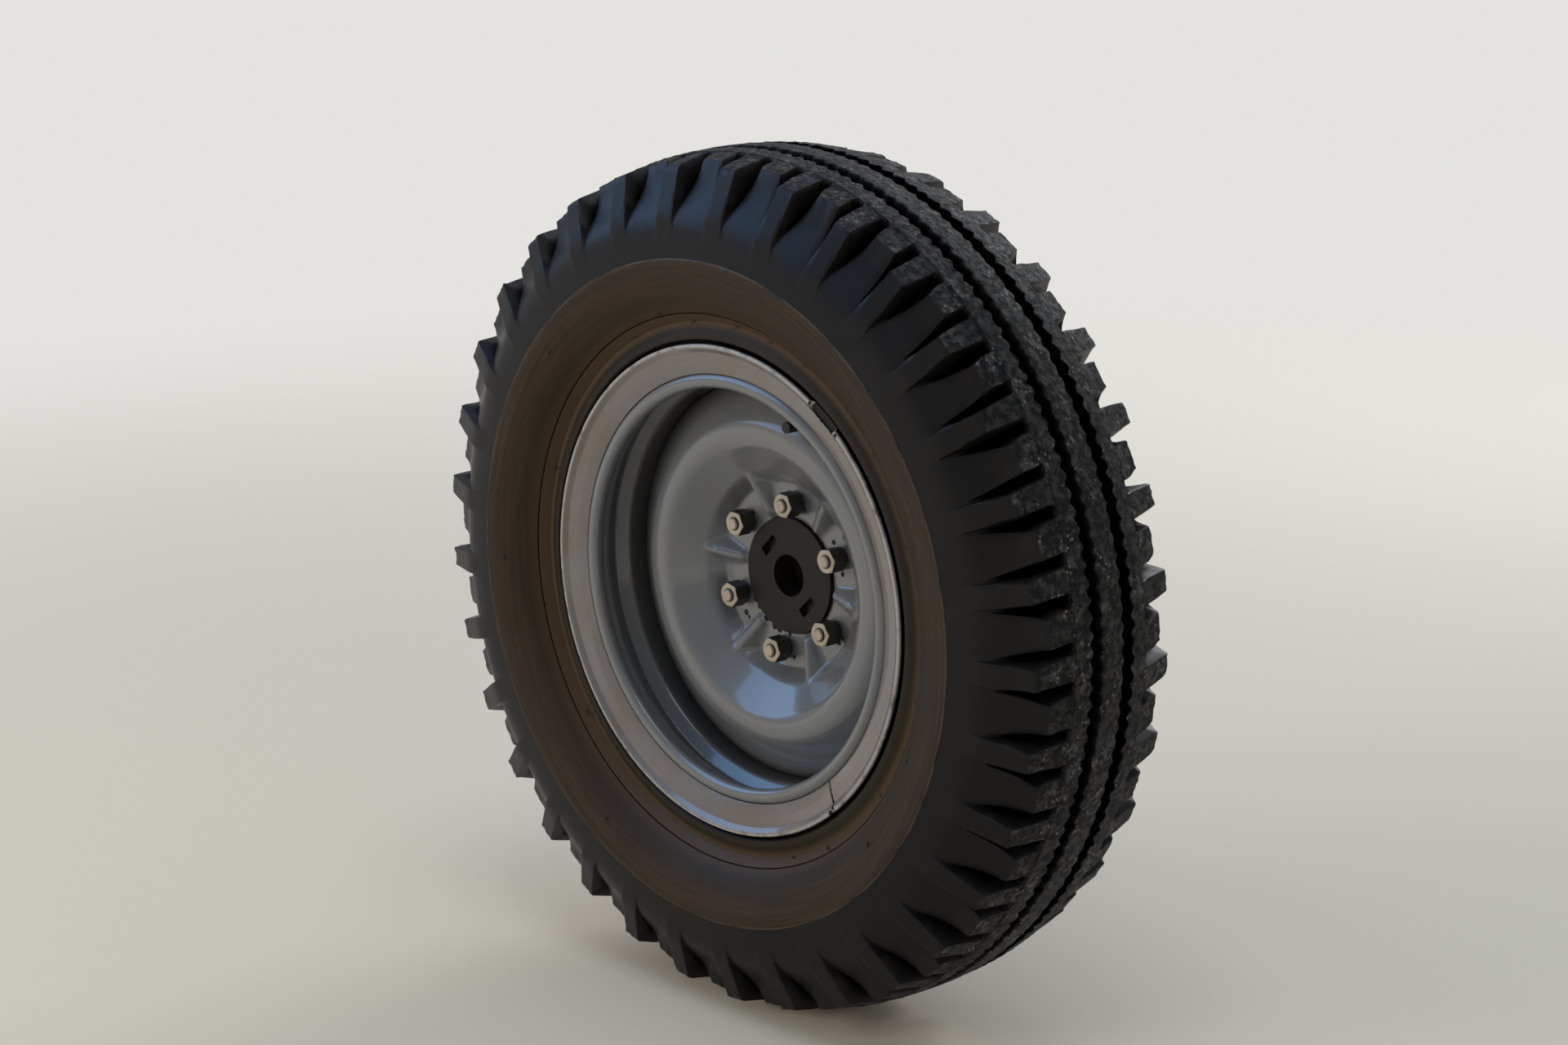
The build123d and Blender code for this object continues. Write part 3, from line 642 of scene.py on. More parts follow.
def woven(columns: int, rows: int, place: Callable[[int, int], Vector]) -> Shape:
    """Grid whose points are moved to their places.

    Args:
        columns: Number of cells along the grid.
        rows: Number of cells across it.
        place: Gives the place of the point in a column and a row, in metres.

    Returns:
        The mesh.
    """
    mesh = bmesh.new()
    bmesh.ops.create_grid(mesh, x_segments=columns, y_segments=rows, size=0.5)
    for vertex in mesh.verts:
        column = round((vertex.co.x + 0.5) * columns)
        row = round((vertex.co.y + 0.5) * rows)
        vertex.co = place(column, row)
    return mesh


def close_up(mesh: Shape, gap: float = 2e-5) -> None:
    """Merges the points that meet and turns all faces outwards."""
    bmesh.ops.remove_doubles(mesh, verts=mesh.verts[:], dist=gap)
    bmesh.ops.recalc_face_normals(mesh, faces=mesh.faces[:])


def smooth_step(value: float, low: float, high: float) -> float:
    """Eases from 0 at low to 1 at high; low may be the larger."""
    share = min(1.0, max(0.0, (value - low) / (high - low)))
    return share * share * (3 - 2 * share)


def larger(first: float, second: float, ease: float) -> float:
    """The larger of two heights, with the bend between them rounded over a width."""
    near = max(ease - abs(first - second), 0.0) / ease
    return max(first, second) + near * near * ease / 4


class Line:
    """Section line with rounded corners, measured along its length."""

    def __init__(self, corners: tuple[tuple, ...], arc_step: float = 9.0) -> None:
        """Rounds the corners.

        Args:
            corners: Radius, distance outboard and rounding of each corner, in millimetres.
            arc_step: Degrees between the points of a rounding.
        """
        places = [Vector((radius, outboard)) for radius, outboard, _ in corners]
        self.points = [places[0]]
        for before, here, after, corner in zip(places, places[1:], places[2:], corners[1:]):
            comes, goes = (here - before).normalized(), (after - here).normalized()
            turn = comes.angle_signed(goes)
            rounding = corner[2]
            reach = rounding * math.tan(abs(turn) / 2)
            steps = max(1, round(math.degrees(abs(turn)) / arc_step)) if rounding else 0
            across = Vector((comes.y, -comes.x)) * (1 if turn > 0 else -1)
            for step in range(steps + 1):
                part = abs(turn) * step / steps if steps else 0.0
                shift = comes * math.sin(part) + across * (1 - math.cos(part))
                self.points.append(here - comes * reach + shift * rounding)
        self.points.append(places[-1])
        self.lengths = [0.0]
        for here, after in zip(self.points, self.points[1:]):
            self.lengths.append(self.lengths[-1] + (after - here).length)

    @property
    def length(self) -> float:
        """Whole length."""
        return self.lengths[-1]

    def at(self, distance: float) -> tuple[Vector, Vector]:
        """Point at a distance along the line and the direction to its left."""
        index = min(max(bisect_right(self.lengths, distance) - 1, 0), len(self.points) - 2)
        while index < len(self.points) - 2 and self.lengths[index + 1] <= self.lengths[index]:
            index += 1
        start, end = self.points[index], self.points[index + 1]
        share = (distance - self.lengths[index]) / (self.lengths[index + 1] - self.lengths[index])
        along = (end - start).normalized()
        return start.lerp(end, share), Vector((-along.y, along.x))


@dataclass(frozen=True)
class TreadRow:
    """One line round the tyre. A place is a radius and a distance from the middle plane."""

    proud: Span
    setback: Span
    floor: Span
    proud_half: float = 0.0
    setback_half: float = 0.0
    floor_half: float = 0.0
    skew: float = 0.0
    wave: float = 0.0
    # painted shade of a plain row, from 0 to 1
    dark: float = 0.0

    @property
    def patterned(self) -> bool:
        """Whether the row runs over the lugs."""
        return self.proud_half > 0


def plain_row(radius: float, half: float, wave: float = 0.0, dark: float = 0.0) -> TreadRow:
    """Row with one place all the way round."""
    return TreadRow((radius, half), (radius, half), (radius, half), wave=wave, dark=dark)


@dataclass
class Tyre:
    """Tyre with worn ribs and shoulder lugs that are proud and set back by turns."""

    pairs: int = 33
    first_proud: float = 0.35
    columns: int = 24
    inboard_shift: int = 18
    edge_round: float = 1.1
    wave_depth: float = 2.2
    # how far a groove's wall stands off in each column, from -1 to 1
    teeth: tuple = (
        (-1.0, -0.3, 0.7, 0.9, -0.2, -0.9, -0.3, 0.9, 0.4, -0.9, -0.7, 0.5)
        + (1.0, 0.1, -0.9, -0.4, 0.3, 0.9, -0.1, -1.0, -0.2, 0.6, 0.8, -0.4)
    )
    tooth_offset: int = 10
    tooth_share: float = 0.8
    outer_twist: float = 0.35
    inner_twist: float = -0.15
    groove_middle: float = 18.0
    # radii where the painted shade of a groove and of a slot starts and where it is full
    groove_shade: Span = (393.2, 392.0)
    slot_shade: Span = (344.0, 372.0)
    wear_depth: float = 0.35
    fray: float = 1.3
    wear_seed: int = 7

    # places of proud lug, set-back lug and floor, half widths of the three, and skew
    lug_table: tuple = (
        ((390.7, 43.6), (390.7, 43.6), (390.6, 43.8), 14.2, 18.0, 2.2, 5.6),
        ((390.6, 44.4), (390.6, 44.4), (386.6, 44.5), 12.4, 15.8, 3.6, 5.4),
        ((390.3, 46.2), (390.4, 46.0), (378.0, 45.2), 11.2, 14.4, 4.9, 5.0),
        ((388.9, 53.0), (389.3, 51.0), (374.5, 49.5), 11.6, 15.0, 4.2, 4.1),
        ((386.8, 64.0), (388.0, 58.0), (370.2, 56.0), 11.2, 14.5, 4.2, 2.9),
        ((384.2, 77.5), (386.9, 64.2), (366.0, 62.0), 10.4, 13.4, 4.2, 0.9),
        ((383.3, 82.0), (386.5, 66.6), (364.0, 64.6), 10.0, 13.0, 4.2, 0.2),
        ((381.9, 83.5), (385.2, 67.8), (362.4, 66.6), 9.8, 12.9, 4.1, 0.0),
        ((376.5, 85.4), (378.2, 70.3), (359.6, 70.4), 9.8, 13.6, 3.4, 0.0),
        ((369.5, 88.1), (369.5, 74.2), (356.2, 75.6), 10.0, 14.9, 2.6, 0.0),
        ((362.0, 91.0), (361.2, 79.4), (352.4, 81.4), 10.2, 16.2, 1.9, 0.0),
        ((354.5, 93.9), (353.6, 86.0), (348.6, 87.2), 10.3, 17.6, 1.2, 0.0),
        ((347.0, 96.8), (346.6, 91.8), (344.8, 92.6), 10.3, 18.8, 0.7, 0.0),
        ((340.6, 98.9), (340.4, 96.2), (340.2, 96.3), 10.2, 19.2, 0.5, 0.0),
        ((334.6, 100.2), (334.6, 98.9), (334.6, 98.9), 10.2, 19.0, 0.6, 0.0),
    )
    # radius, distance from the middle plane and share of the teeth
    crown_rows: tuple = (
        ((394.0, 0.0, 0.0), (393.9, 7.5, 0.0), (393.6, 11.8, 1.0), (392.7, 12.9, 1.0))
        + ((385.0, 13.9, 1.0), (383.6, 19.0, 1.0), (385.0, 24.2, 1.0), (392.2, 25.3, 1.0))
        + ((393.0, 26.4, 1.0), (392.5, 31.0, 0.0), (391.9, 38.0, 0.0), (391.2, 43.5, 0.0))
    )
    # radius and distance from the middle plane, between the lugs and the side wall
    flank_rows: tuple = (
        ((327.0, 101.1), (316.0, 102.6), (304.4, 103.7))
        + ((303.2, 103.8), (302.5, 104.8), (301.6, 105.0))
    )
    # share of the way down the side wall, lift and painted shade; the dark ones are its hairline
    # groove
    wall_rows: tuple = (
        ((0.08, 0.0, 0.0), (0.2, 0.0, 0.0), (0.33, 0.0, 0.0), (0.46, 0.0, 0.0), (0.59, 0.0, 0.0))
        + ((0.71, 0.0, 0.0), (0.815, 0.0, 0.0), (0.822, -0.6, 1.0), (0.832, -0.6, 1.0))
        + ((0.84, 0.2, 0.0), (0.92, 0.0, 0.0))
    )
    # from the foot of the side wall over the bead, then inside back to the crown
    bead_rows: tuple = (
        ((244.0, 74.5), (240.0, 74.5), (236.0, 76.6), (231.8, 78.0), (228.6, 77.8), (226.8, 76.0))
        + ((226.0, 70.9), (218.8, 69.55), (208.1, 69.55), (203.1, 64.55), (203.1, 45.0))
        + ((213.1, 45.0), (258.0, 83.0), (342.0, 86.8), (367.0, 30.0), (374.0, 0.0))
    )
    # widest place and foot of the side wall, and how far its arc leaves the straight line
    wall_top: Span = (302.0, 105.0)
    wall_foot: Span = (244.0, 74.5)
    wall_sag: Span = (-3.26, 6.2)
    # columns over half a lug and over the floor, and how far a lug's edge sinks towards it
    lug_steps: int = 3
    floor_steps: int = 3
    edge_sink: float = 0.09
    frayed_radius: float = 378.0
    frayed_half: Span = (11.0, 13.0)
    wear_scale: float = 140.0
    fray_scale: float = 210.0
    fray_share: float = 0.7

    def half_rows(self) -> list[TreadRow]:
        """Rows from the middle of the crown outwards, round the bead and back inside."""
        rows = [plain_row(*place) for place in self.crown_rows]
        rows += [TreadRow(*given) for given in self.lug_table]
        rows += [plain_row(*place) for place in self.flank_rows]
        for share, lift, dark in self.wall_rows:
            radius, half = self.bulge(share)
            rows.append(plain_row(radius, half + lift, dark=dark))
        return rows + [plain_row(*place) for place in self.bead_rows]

    def bulge(self, share: float) -> Span:
        """Place on the arc of the side wall, from its widest place (0) to its foot (1)."""
        lift = 4 * share * (1 - share)
        ends = zip(self.wall_top, self.wall_foot, self.wall_sag)
        return tuple(top + (foot - top) * share + sag * lift for top, foot, sag in ends)

    def spot(self, row: TreadRow, column: int, side: int) -> Vector:
        """Place of one vertex.

        Args:
            row: The row.
            column: Column within the pitch, from 0 to the number of columns.
            side: 1 on the outboard side, -1 on the inboard side.

        Returns:
            The point in metres.
        """
        pitch = 2 * math.pi / self.pairs
        start = math.radians(self.first_proud)
        if not row.patterned:
            radius, half = row.proud
            half += side * self.wave_depth * row.wave * self.tooth(column, half)
            return on_wheel(radius, start + pitch * column / self.columns, side * half)
        shift = self.shift(side)
        turn, local = divmod(column - shift, self.columns)
        place, along = self.half_pattern(row, self.step(column, side), pitch)
        angle = along / row.proud[0]
        if local > self.columns // 2:
            angle = pitch - angle
        angle += pitch * (turn + shift / self.columns) + side * row.skew / row.proud[0]
        return on_wheel(place[0], start + angle, side * place[1])

    def shift(self, side: int) -> int:
        """Columns by which the pattern of a side is turned on."""
        return 0 if side > 0 else self.inboard_shift

    def step(self, column: int, side: int) -> int:
        """Steps from the middle of the nearest proud lug."""
        local = (column - self.shift(side)) % self.columns
        return min(local, self.columns - local)

    def tooth(self, column: int, half: float) -> float:
        """Uneven tooth of a groove's wall, from -1 to 1; the two walls differ a little."""
        here = self.teeth[column % self.columns]
        other = self.teeth[(column + self.tooth_offset) % self.columns]
        twist = self.outer_twist if half > self.groove_middle else self.inner_twist
        return self.tooth_share * here + twist * other

    def half_pattern(self, row: TreadRow, step: int, pitch: float) -> tuple[Span, float]:
        """Place and distance round the wheel of a column, from a proud lug to a set-back one."""
        half_pitch = pitch * row.proud[0] / 2
        proud_edge = row.proud_half
        setback_edge = half_pitch - row.setback_half
        middle = (proud_edge + setback_edge) / 2

        def sunk(place: Span) -> Span:
            return tuple(a + (b - a) * self.edge_sink for a, b in zip(place, row.floor))

        edge = self.lug_steps + 1
        far_edge = edge + self.floor_steps + 1
        if step < edge:
            return row.proud, (proud_edge - self.edge_round) * step / self.lug_steps
        if step == edge:
            return sunk(row.proud), proud_edge
        if step < far_edge:
            return row.floor, middle + row.floor_half * (step - (edge + far_edge) // 2)
        if step == far_edge:
            return sunk(row.setback), setback_edge
        inner = setback_edge + self.edge_round
        return row.setback, inner + (half_pitch - inner) * (step - far_edge - 1) / self.lug_steps

    def depth(self, row: TreadRow, column: int, side: int) -> float:
        """How far down in a slot or groove a point lies, from 0 to 1, which sets its painted shade.
        """
        if not row.patterned:
            return smooth_step(row.proud[0], *self.groove_shade) if row.wave else row.dark
        if not 1 < self.step(column, side) - self.lug_steps < self.floor_steps + 2:
            return 0.0
        near_tread = 0.2 + 0.8 * smooth_step(row.proud[0], *self.slot_shade)
        return near_tread * smooth_step(row.proud[0] - row.floor[0], 0.5, 6.0)

    def build(self, material: Material) -> Piece:
        """Builds the tyre: one pitch from a grid, then turned and copied round the wheel."""
        half = self.half_rows()
        lines = [(row, 1) for row in reversed(half)] + [(row, -1) for row in half[1:]]
        mesh = bmesh.new()
        bmesh.ops.create_grid(mesh, x_segments=self.columns, y_segments=len(lines) - 1, size=0.5)
        # the stored depth sets the painted shade of slots and grooves
        deep = mesh.verts.layers.float.new("depth")
        for vertex in mesh.verts:
            column = round((vertex.co.x + 0.5) * self.columns)
            row, side = lines[round((vertex.co.y + 0.5) * (len(lines) - 1))]
            vertex.co = self.spot(row, column, side)
            vertex[deep] = self.depth(row, column, side)
        bmesh.ops.spin(
            mesh,
            geom=mesh.verts[:] + mesh.edges[:] + mesh.faces[:],
            cent=(0, 0, 0),
            axis=(0, 1, 0),
            angle=2 * math.pi * (self.pairs - 1) / self.pairs,
            steps=self.pairs - 1,
            use_duplicate=True,
        )
        close_up(mesh)
        self.wear(mesh)
        return finish_piece(mesh, "tyre_casing", material, WHEEL, Slot.TYRE, ("tyre",), 34.0)

    def wear(self, mesh: Shape) -> None:
        """Rounds off the tread a little and frays its edges, unevenly."""
        noise.seed_set(self.wear_seed)
        inner, outer = (half * MM for half in self.frayed_half)
        for vertex in mesh.verts:
            radius = math.hypot(vertex.co.x, vertex.co.z)
            if radius <= self.frayed_radius * MM:
                continue
            half = abs(vertex.co.y - WHEEL_PLANE)
            depth = 0.5 + 0.5 * noise.noise(vertex.co * self.wear_scale)
            shrink = 1 - depth * self.wear_depth * MM / radius
            fray = noise.noise_vector(vertex.co * self.fray_scale) * self.fray * MM
            fray *= smooth_step(half, inner, outer)
            vertex.co.x = (vertex.co.x + fray.x * self.fray_share) * shrink
            vertex.co.z = (vertex.co.z + fray.z * self.fray_share) * shrink
            vertex.co.y += fray.y


@dataclass
class SpewPips:
    """Short stubs that the mould's vents leave on the side walls."""

    # share of the way down the side wall, and degrees above the forward axis
    places: tuple = (
        ((0.27, 137.0), (0.98, 118.0), (0.76, 106.0), (0.97, 98.6), (0.28, -177.0), (0.96, 162.0))
        + ((0.95, 85.0), (0.98, 75.0), (0.96, 64.0), (0.98, 39.0), (0.97, 31.0), (0.95, 20.0))
        + ((0.97, -12.0), (0.98, -24.0), (0.59, -22.0), (0.97, -36.0), (0.42, -41.5))
        + ((0.88, -56.0), (0.96, -68.5), (0.3, -120.0), (0.93, -141.0))
    )
    thickness: float = 1.0
    length: float = 5.6
    root: float = 0.3
    segments: int = 8
    # radians that a stub leans from straight outwards, how much that differs, and its tilt
    lean: float = 1.9
    lean_spread: float = 0.5
    lift: float = 0.3

    def build(self, material: Material) -> Piece:
        """Builds the stubs of both side walls as one piece."""
        tyre = Tyre()
        mesh = bmesh.new()
        for side in (1, -1):
            for share, degrees in self.places:
                radius, half = tyre.bulge(share)
                angle = math.radians(degrees)
                seat = on_wheel(radius, angle, side * (half - self.root))
                bend = angle + self.lean + self.lean_spread * math.sin(5 * angle)
                leaning = Vector((math.cos(bend), -self.lift * side, math.sin(bend))).normalized()
                turn = leaning.to_track_quat("Z", "Y").to_matrix().to_4x4()
                bmesh.ops.create_cone(
                    mesh,
                    cap_ends=True,
                    segments=self.segments,
                    radius1=self.thickness * MM,
                    radius2=self.thickness * 0.5 * MM,
                    depth=self.length * MM,
                    matrix=Matrix.Translation(seat + leaning * self.length * MM / 2) @ turn,
                )
        return finish_piece(mesh, "spew_pips", material, WHEEL, Slot.VALVE)


@dataclass
class Disc:
    """Pressed wheel disc: flat hub with ribs, bowl, raised crown and three weld lands."""

    hub_front: float = -8.0
    sheet: float = 4.5
    # radius, height of the middle of the sheet above the hub's, rounding
    section: tuple = (
        ((55.0, 0.0, 0.0), (88.0, 0.0, 6.0), (99.0, 17.0, 12.0), (129.0, 40.75, 14.0))
        + ((145.0, 40.75, 14.0), (185.15, 14.5, 8.0), (185.15, -5.5, 0.0))
    )
    scallop_height: float = 8.6
    land_phase: float = 28.0
    land_half: float = 16.0
    land_count: int = 3
    scallop_ease: float = 5.0
    # radius where the painted shade of the disc's free edge starts, and the width over which it
    # grows
    gap_shade_radius: float = 181.0
    gap_shade_width: float = 3.5
    edge_round: float = 0.6
    rib_angle: float = 53.9
    rib_count: int = 6
    rib_start: Span = (60.0, 6.5)
    rib_tip: Span = (99.5, 18.5)
    rib_top: float = 4.5
    rib_slope: float = 1.3
    # millimetres that the ridge drops over 10 mm inside the rib's start
    rib_plunge: float = 18.0
    rib_round: float = 1.6
    rib_blend: float = 3.0
    columns: int = 288
    fine_rows: int = 30
    broad_rows: int = 28
    fine_radius: float = 104.0

    def build(self, material: Material) -> Piece:
        """Builds the disc."""
        line = Line(self.section)
        tries = self.steps(0.0, line.length, 400)
        inner_end = next(tried for tried in tries if line.at(tried)[0].x > self.fine_radius)
        tries = self.steps(line.length / 2, line.length, 800)
        scallop_end = next(tried for tried in tries if self.seats(line.at(tried)[0]))
        side_rows = self.fine_rows + self.broad_rows

        def place(column: int, row: int) -> Vector:
            angle = math.radians(self.rib_angle + 360 * column / self.columns)
            end = scallop_end + (line.length - scallop_end) * self.land_share(angle)
            back = row > side_rows
            step = row % (2 * side_rows + 2)
            step = 2 * side_rows + 1 - step if back else step
            if row == 2 * side_rows + 2:
                step, back = 0, False
            if step <= self.fine_rows:
                distance = inner_end * step / self.fine_rows
            else:
                distance = inner_end + (end - inner_end) * (step - self.fine_rows) / self.broad_rows
            middle, left = line.at(distance)
            edge = self.edge_round if step in (0, side_rows) else 0.0
            point = middle + left * ((self.sheet / 2 - edge) * (-1 if back else 1))
            lift = self.rib_lift(middle, angle)
            return on_wheel(point.x, angle, self.hub_front - self.sheet / 2 + point.y + lift)

        mesh = woven(self.columns, 2 * side_rows + 2, place)
        close_up(mesh)
        # painted shade on the free edge between the weld lands, stored for the paint
        deep = mesh.verts.layers.float.new("depth")
        for vertex in mesh.verts:
            radius = math.hypot(vertex.co.x, vertex.co.z) / MM
            free = 1 - self.land_share(math.atan2(vertex.co.z, vertex.co.x))
            near = smooth_step(radius, self.gap_shade_radius, self.gap_shade_radius + self.gap_shade_width)
            vertex[deep] = free * near
        replaced = ("wheel_disc",)
        return finish_piece(mesh, "pressed_disc", material, WHEEL, Slot.WHEEL, replaced, 40.0)

    def seats(self, middle: Vector) -> bool:
        """Whether a point of the section lies beyond the free edge between the lands."""
        return middle.x > self.section[-2][0] - 1 and middle.y < self.scallop_height

    @staticmethod
    def steps(start: float, end: float, count: int) -> list[float]:
        """Even steps from start to end."""
        return [start + (end - start) * step / count for step in range(count + 1)]

    def land_share(self, angle: float) -> float:
        """1 on a weld land and 0 between the lands, eased between them."""
        pitch = 360 / self.land_count
        off = abs((math.degrees(angle) - self.land_phase + pitch / 2) % pitch - pitch / 2)
        return smooth_step(off, self.land_half + self.scallop_ease, self.land_half)

    def rib_lift(self, middle: Vector, angle: float) -> float:
        """Height that the ribs add to the sheet."""
        if middle.x > self.rib_tip[0] + 3:
            return 0.0
        pitch = 360 / self.rib_count
        off = (math.degrees(angle) - self.rib_angle + pitch / 2) % pitch - pitch / 2
        across = abs(math.radians(off)) * middle.x
        span = self.rib_tip[0] - self.rib_start[0]
        share = (middle.x - self.rib_start[0]) / span
        ridge = self.rib_start[1] + (self.rib_tip[1] - self.rib_start[1]) * share
        if share < 0:
            ridge += self.rib_plunge * share * span / 10
        flank = ridge - self.rib_slope * (across - self.rib_top / 2)
        top = -larger(-ridge, -flank, self.rib_round)
        fade = smooth_step(middle.x, self.rib_tip[0] + 3, self.rib_tip[0] - 2)
        return (larger(middle.y, top, self.rib_blend) - middle.y) * fade


@dataclass
class SideRing:
    """Split side ring with its rounded lip and pry notch."""

    # radius, distance outboard, rounding
    section: tuple = (
        ((197.0, 63.0, 0.0), (197.0, 66.6, 1.0), (195.9, 69.0, 1.0), (206.0, 73.4, 9.0))
        + ((216.2, 76.0, 3.0), (220.6, 79.95, 1.8), (223.7, 79.95, 1.6), (224.5, 77.6, 1.2))
        + ((219.8, 72.9, 3.0), (213.8, 69.9, 3.0), (207.3, 69.9, 2.0), (202.8, 65.4, 2.0))
        + ((202.8, 54.1, 1.0), (192.6, 54.1, 1.0), (192.6, 57.6, 1.0), (197.0, 59.5, 0.6))
        + ((197.0, 63.0, 0.0),)
    )
    split_angle: float = -49.0
    split_width: float = 1.9
    slant: float = -2.0
    slant_radius: float = 209.0
    notch_angle: float = 54.8
    notch_half: float = 4.4
    notch_floor: float = 74.2
    notch_back: float = 216.4
    steps: int = 600

    def build(self, material: Material) -> Piece:
        """Builds the ring: its section is spun from one side of the split to the other."""
        points = Line(self.section).points[:-1]
        gap = self.split_width / self.slant_radius
        start = math.radians(self.split_angle) + gap / 2
        mesh = bmesh.new()
        corners = [mesh.verts.new(on_wheel(point.x, start, point.y)) for point in points]
        for here, after in zip(corners, corners[1:] + corners[:1]):
            if (here.co - after.co).length > 1e-6:
                mesh.edges.new((here, after))
        bmesh.ops.spin(
            mesh,
            geom=mesh.verts[:] + mesh.edges[:],
            cent=(0, 0, 0),
            axis=(0, -1, 0),
            angle=2 * math.pi - gap,
            steps=self.steps,
        )
        close_up(mesh, 1e-6)
        ends = [edge for edge in mesh.edges if edge.is_boundary]
        bmesh.ops.holes_fill(mesh, edges=ends)
        for vertex in mesh.verts:
            vertex.co = self.cut(vertex.co)
        bmesh.ops.recalc_face_normals(mesh, faces=mesh.faces[:])
        return finish_piece(mesh, "split_ring", material, WHEEL, Slot.RING, ("side_ring",), 38.0)

    def cut(self, place: Vector) -> Vector:
        """Slants the split and sinks the pry notch."""
        radius = math.hypot(place.x, place.z) / MM
        angle = math.atan2(place.z, place.x)
        off = abs(math.degrees(angle) - self.notch_angle)
        outboard = (WHEEL_PLANE - place.y) / MM
        sunk = smooth_step(off, self.notch_half + 0.3, self.notch_half - 0.3)
        if radius > self.notch_back and outboard > self.notch_floor:
            outboard += (self.notch_floor - outboard) * sunk
        angle += math.tan(math.radians(self.slant)) * (radius - self.slant_radius) / radius
        return on_wheel(radius, angle, outboard)


@dataclass
class Nuts:
    """Six hexagon nuts with chamfered corners and conical seats."""

    circle: float = 69.85
    first_angle: float = 83.9
    count: int = 6
    flats: float = 21.0
    # radius and distance outboard of each line round a nut
    lines: tuple = (
        ((6.05, 10.7), (6.05, -10.7), (7.3, -10.7), (10.3, -5.6), (10.9, -5.4), (12.4, -4.5))
        + ((12.4, 9.3), (11.9, 9.9), (11.3, 10.5), (10.6, 10.95), (10.1, 11.2), (6.6, 11.2))
        + ((6.05, 10.7),)
    )
    # degrees that each nut is turned on its stud
    turns: tuple = (-3.0, -4.0, -12.0, -6.0, 6.0, 10.0)
    columns: int = 72

    def build(self, material: Material) -> Piece:
        """Builds the nuts."""
        whole = bmesh.new()
        for index, turn in enumerate(self.turns):
            angle = math.radians(self.first_angle + 360 / self.count * index)
            centre = on_wheel(self.circle, angle, 0.0)
            place = partial(self.spot, centre, turn)
            mesh = woven(self.columns, len(self.lines) - 1, place)
            close_up(mesh)
            data = settle(mesh, "nut")
            whole.from_mesh(data)
            bpy.data.meshes.remove(data)
        names = tuple(f"wheel_nut_{number}" for number in range(1, self.count + 1))
        return finish_piece(whole, "hexagon_nuts", material, WHEEL, Slot.NUT, names, 22.0)

    def spot(self, centre: Vector, turn: float, column: int, row: int) -> Vector:
        """Place of one point of a nut: on its line, but no further out than the hexagon's flats."""
        around = 2 * math.pi * column / self.columns
        limit, outboard = self.lines[row]
        off = (around + math.pi / 6) % (math.pi / 3) - math.pi / 6
        flat = self.flats / 2 / math.cos(math.pi / 6 - abs(off))
        radius = min(limit, flat) * MM
        direction = around + math.radians(turn)
        shift = Vector((math.cos(direction) * radius, -outboard * MM, math.sin(direction) * radius))
        return centre + shift


# Studio


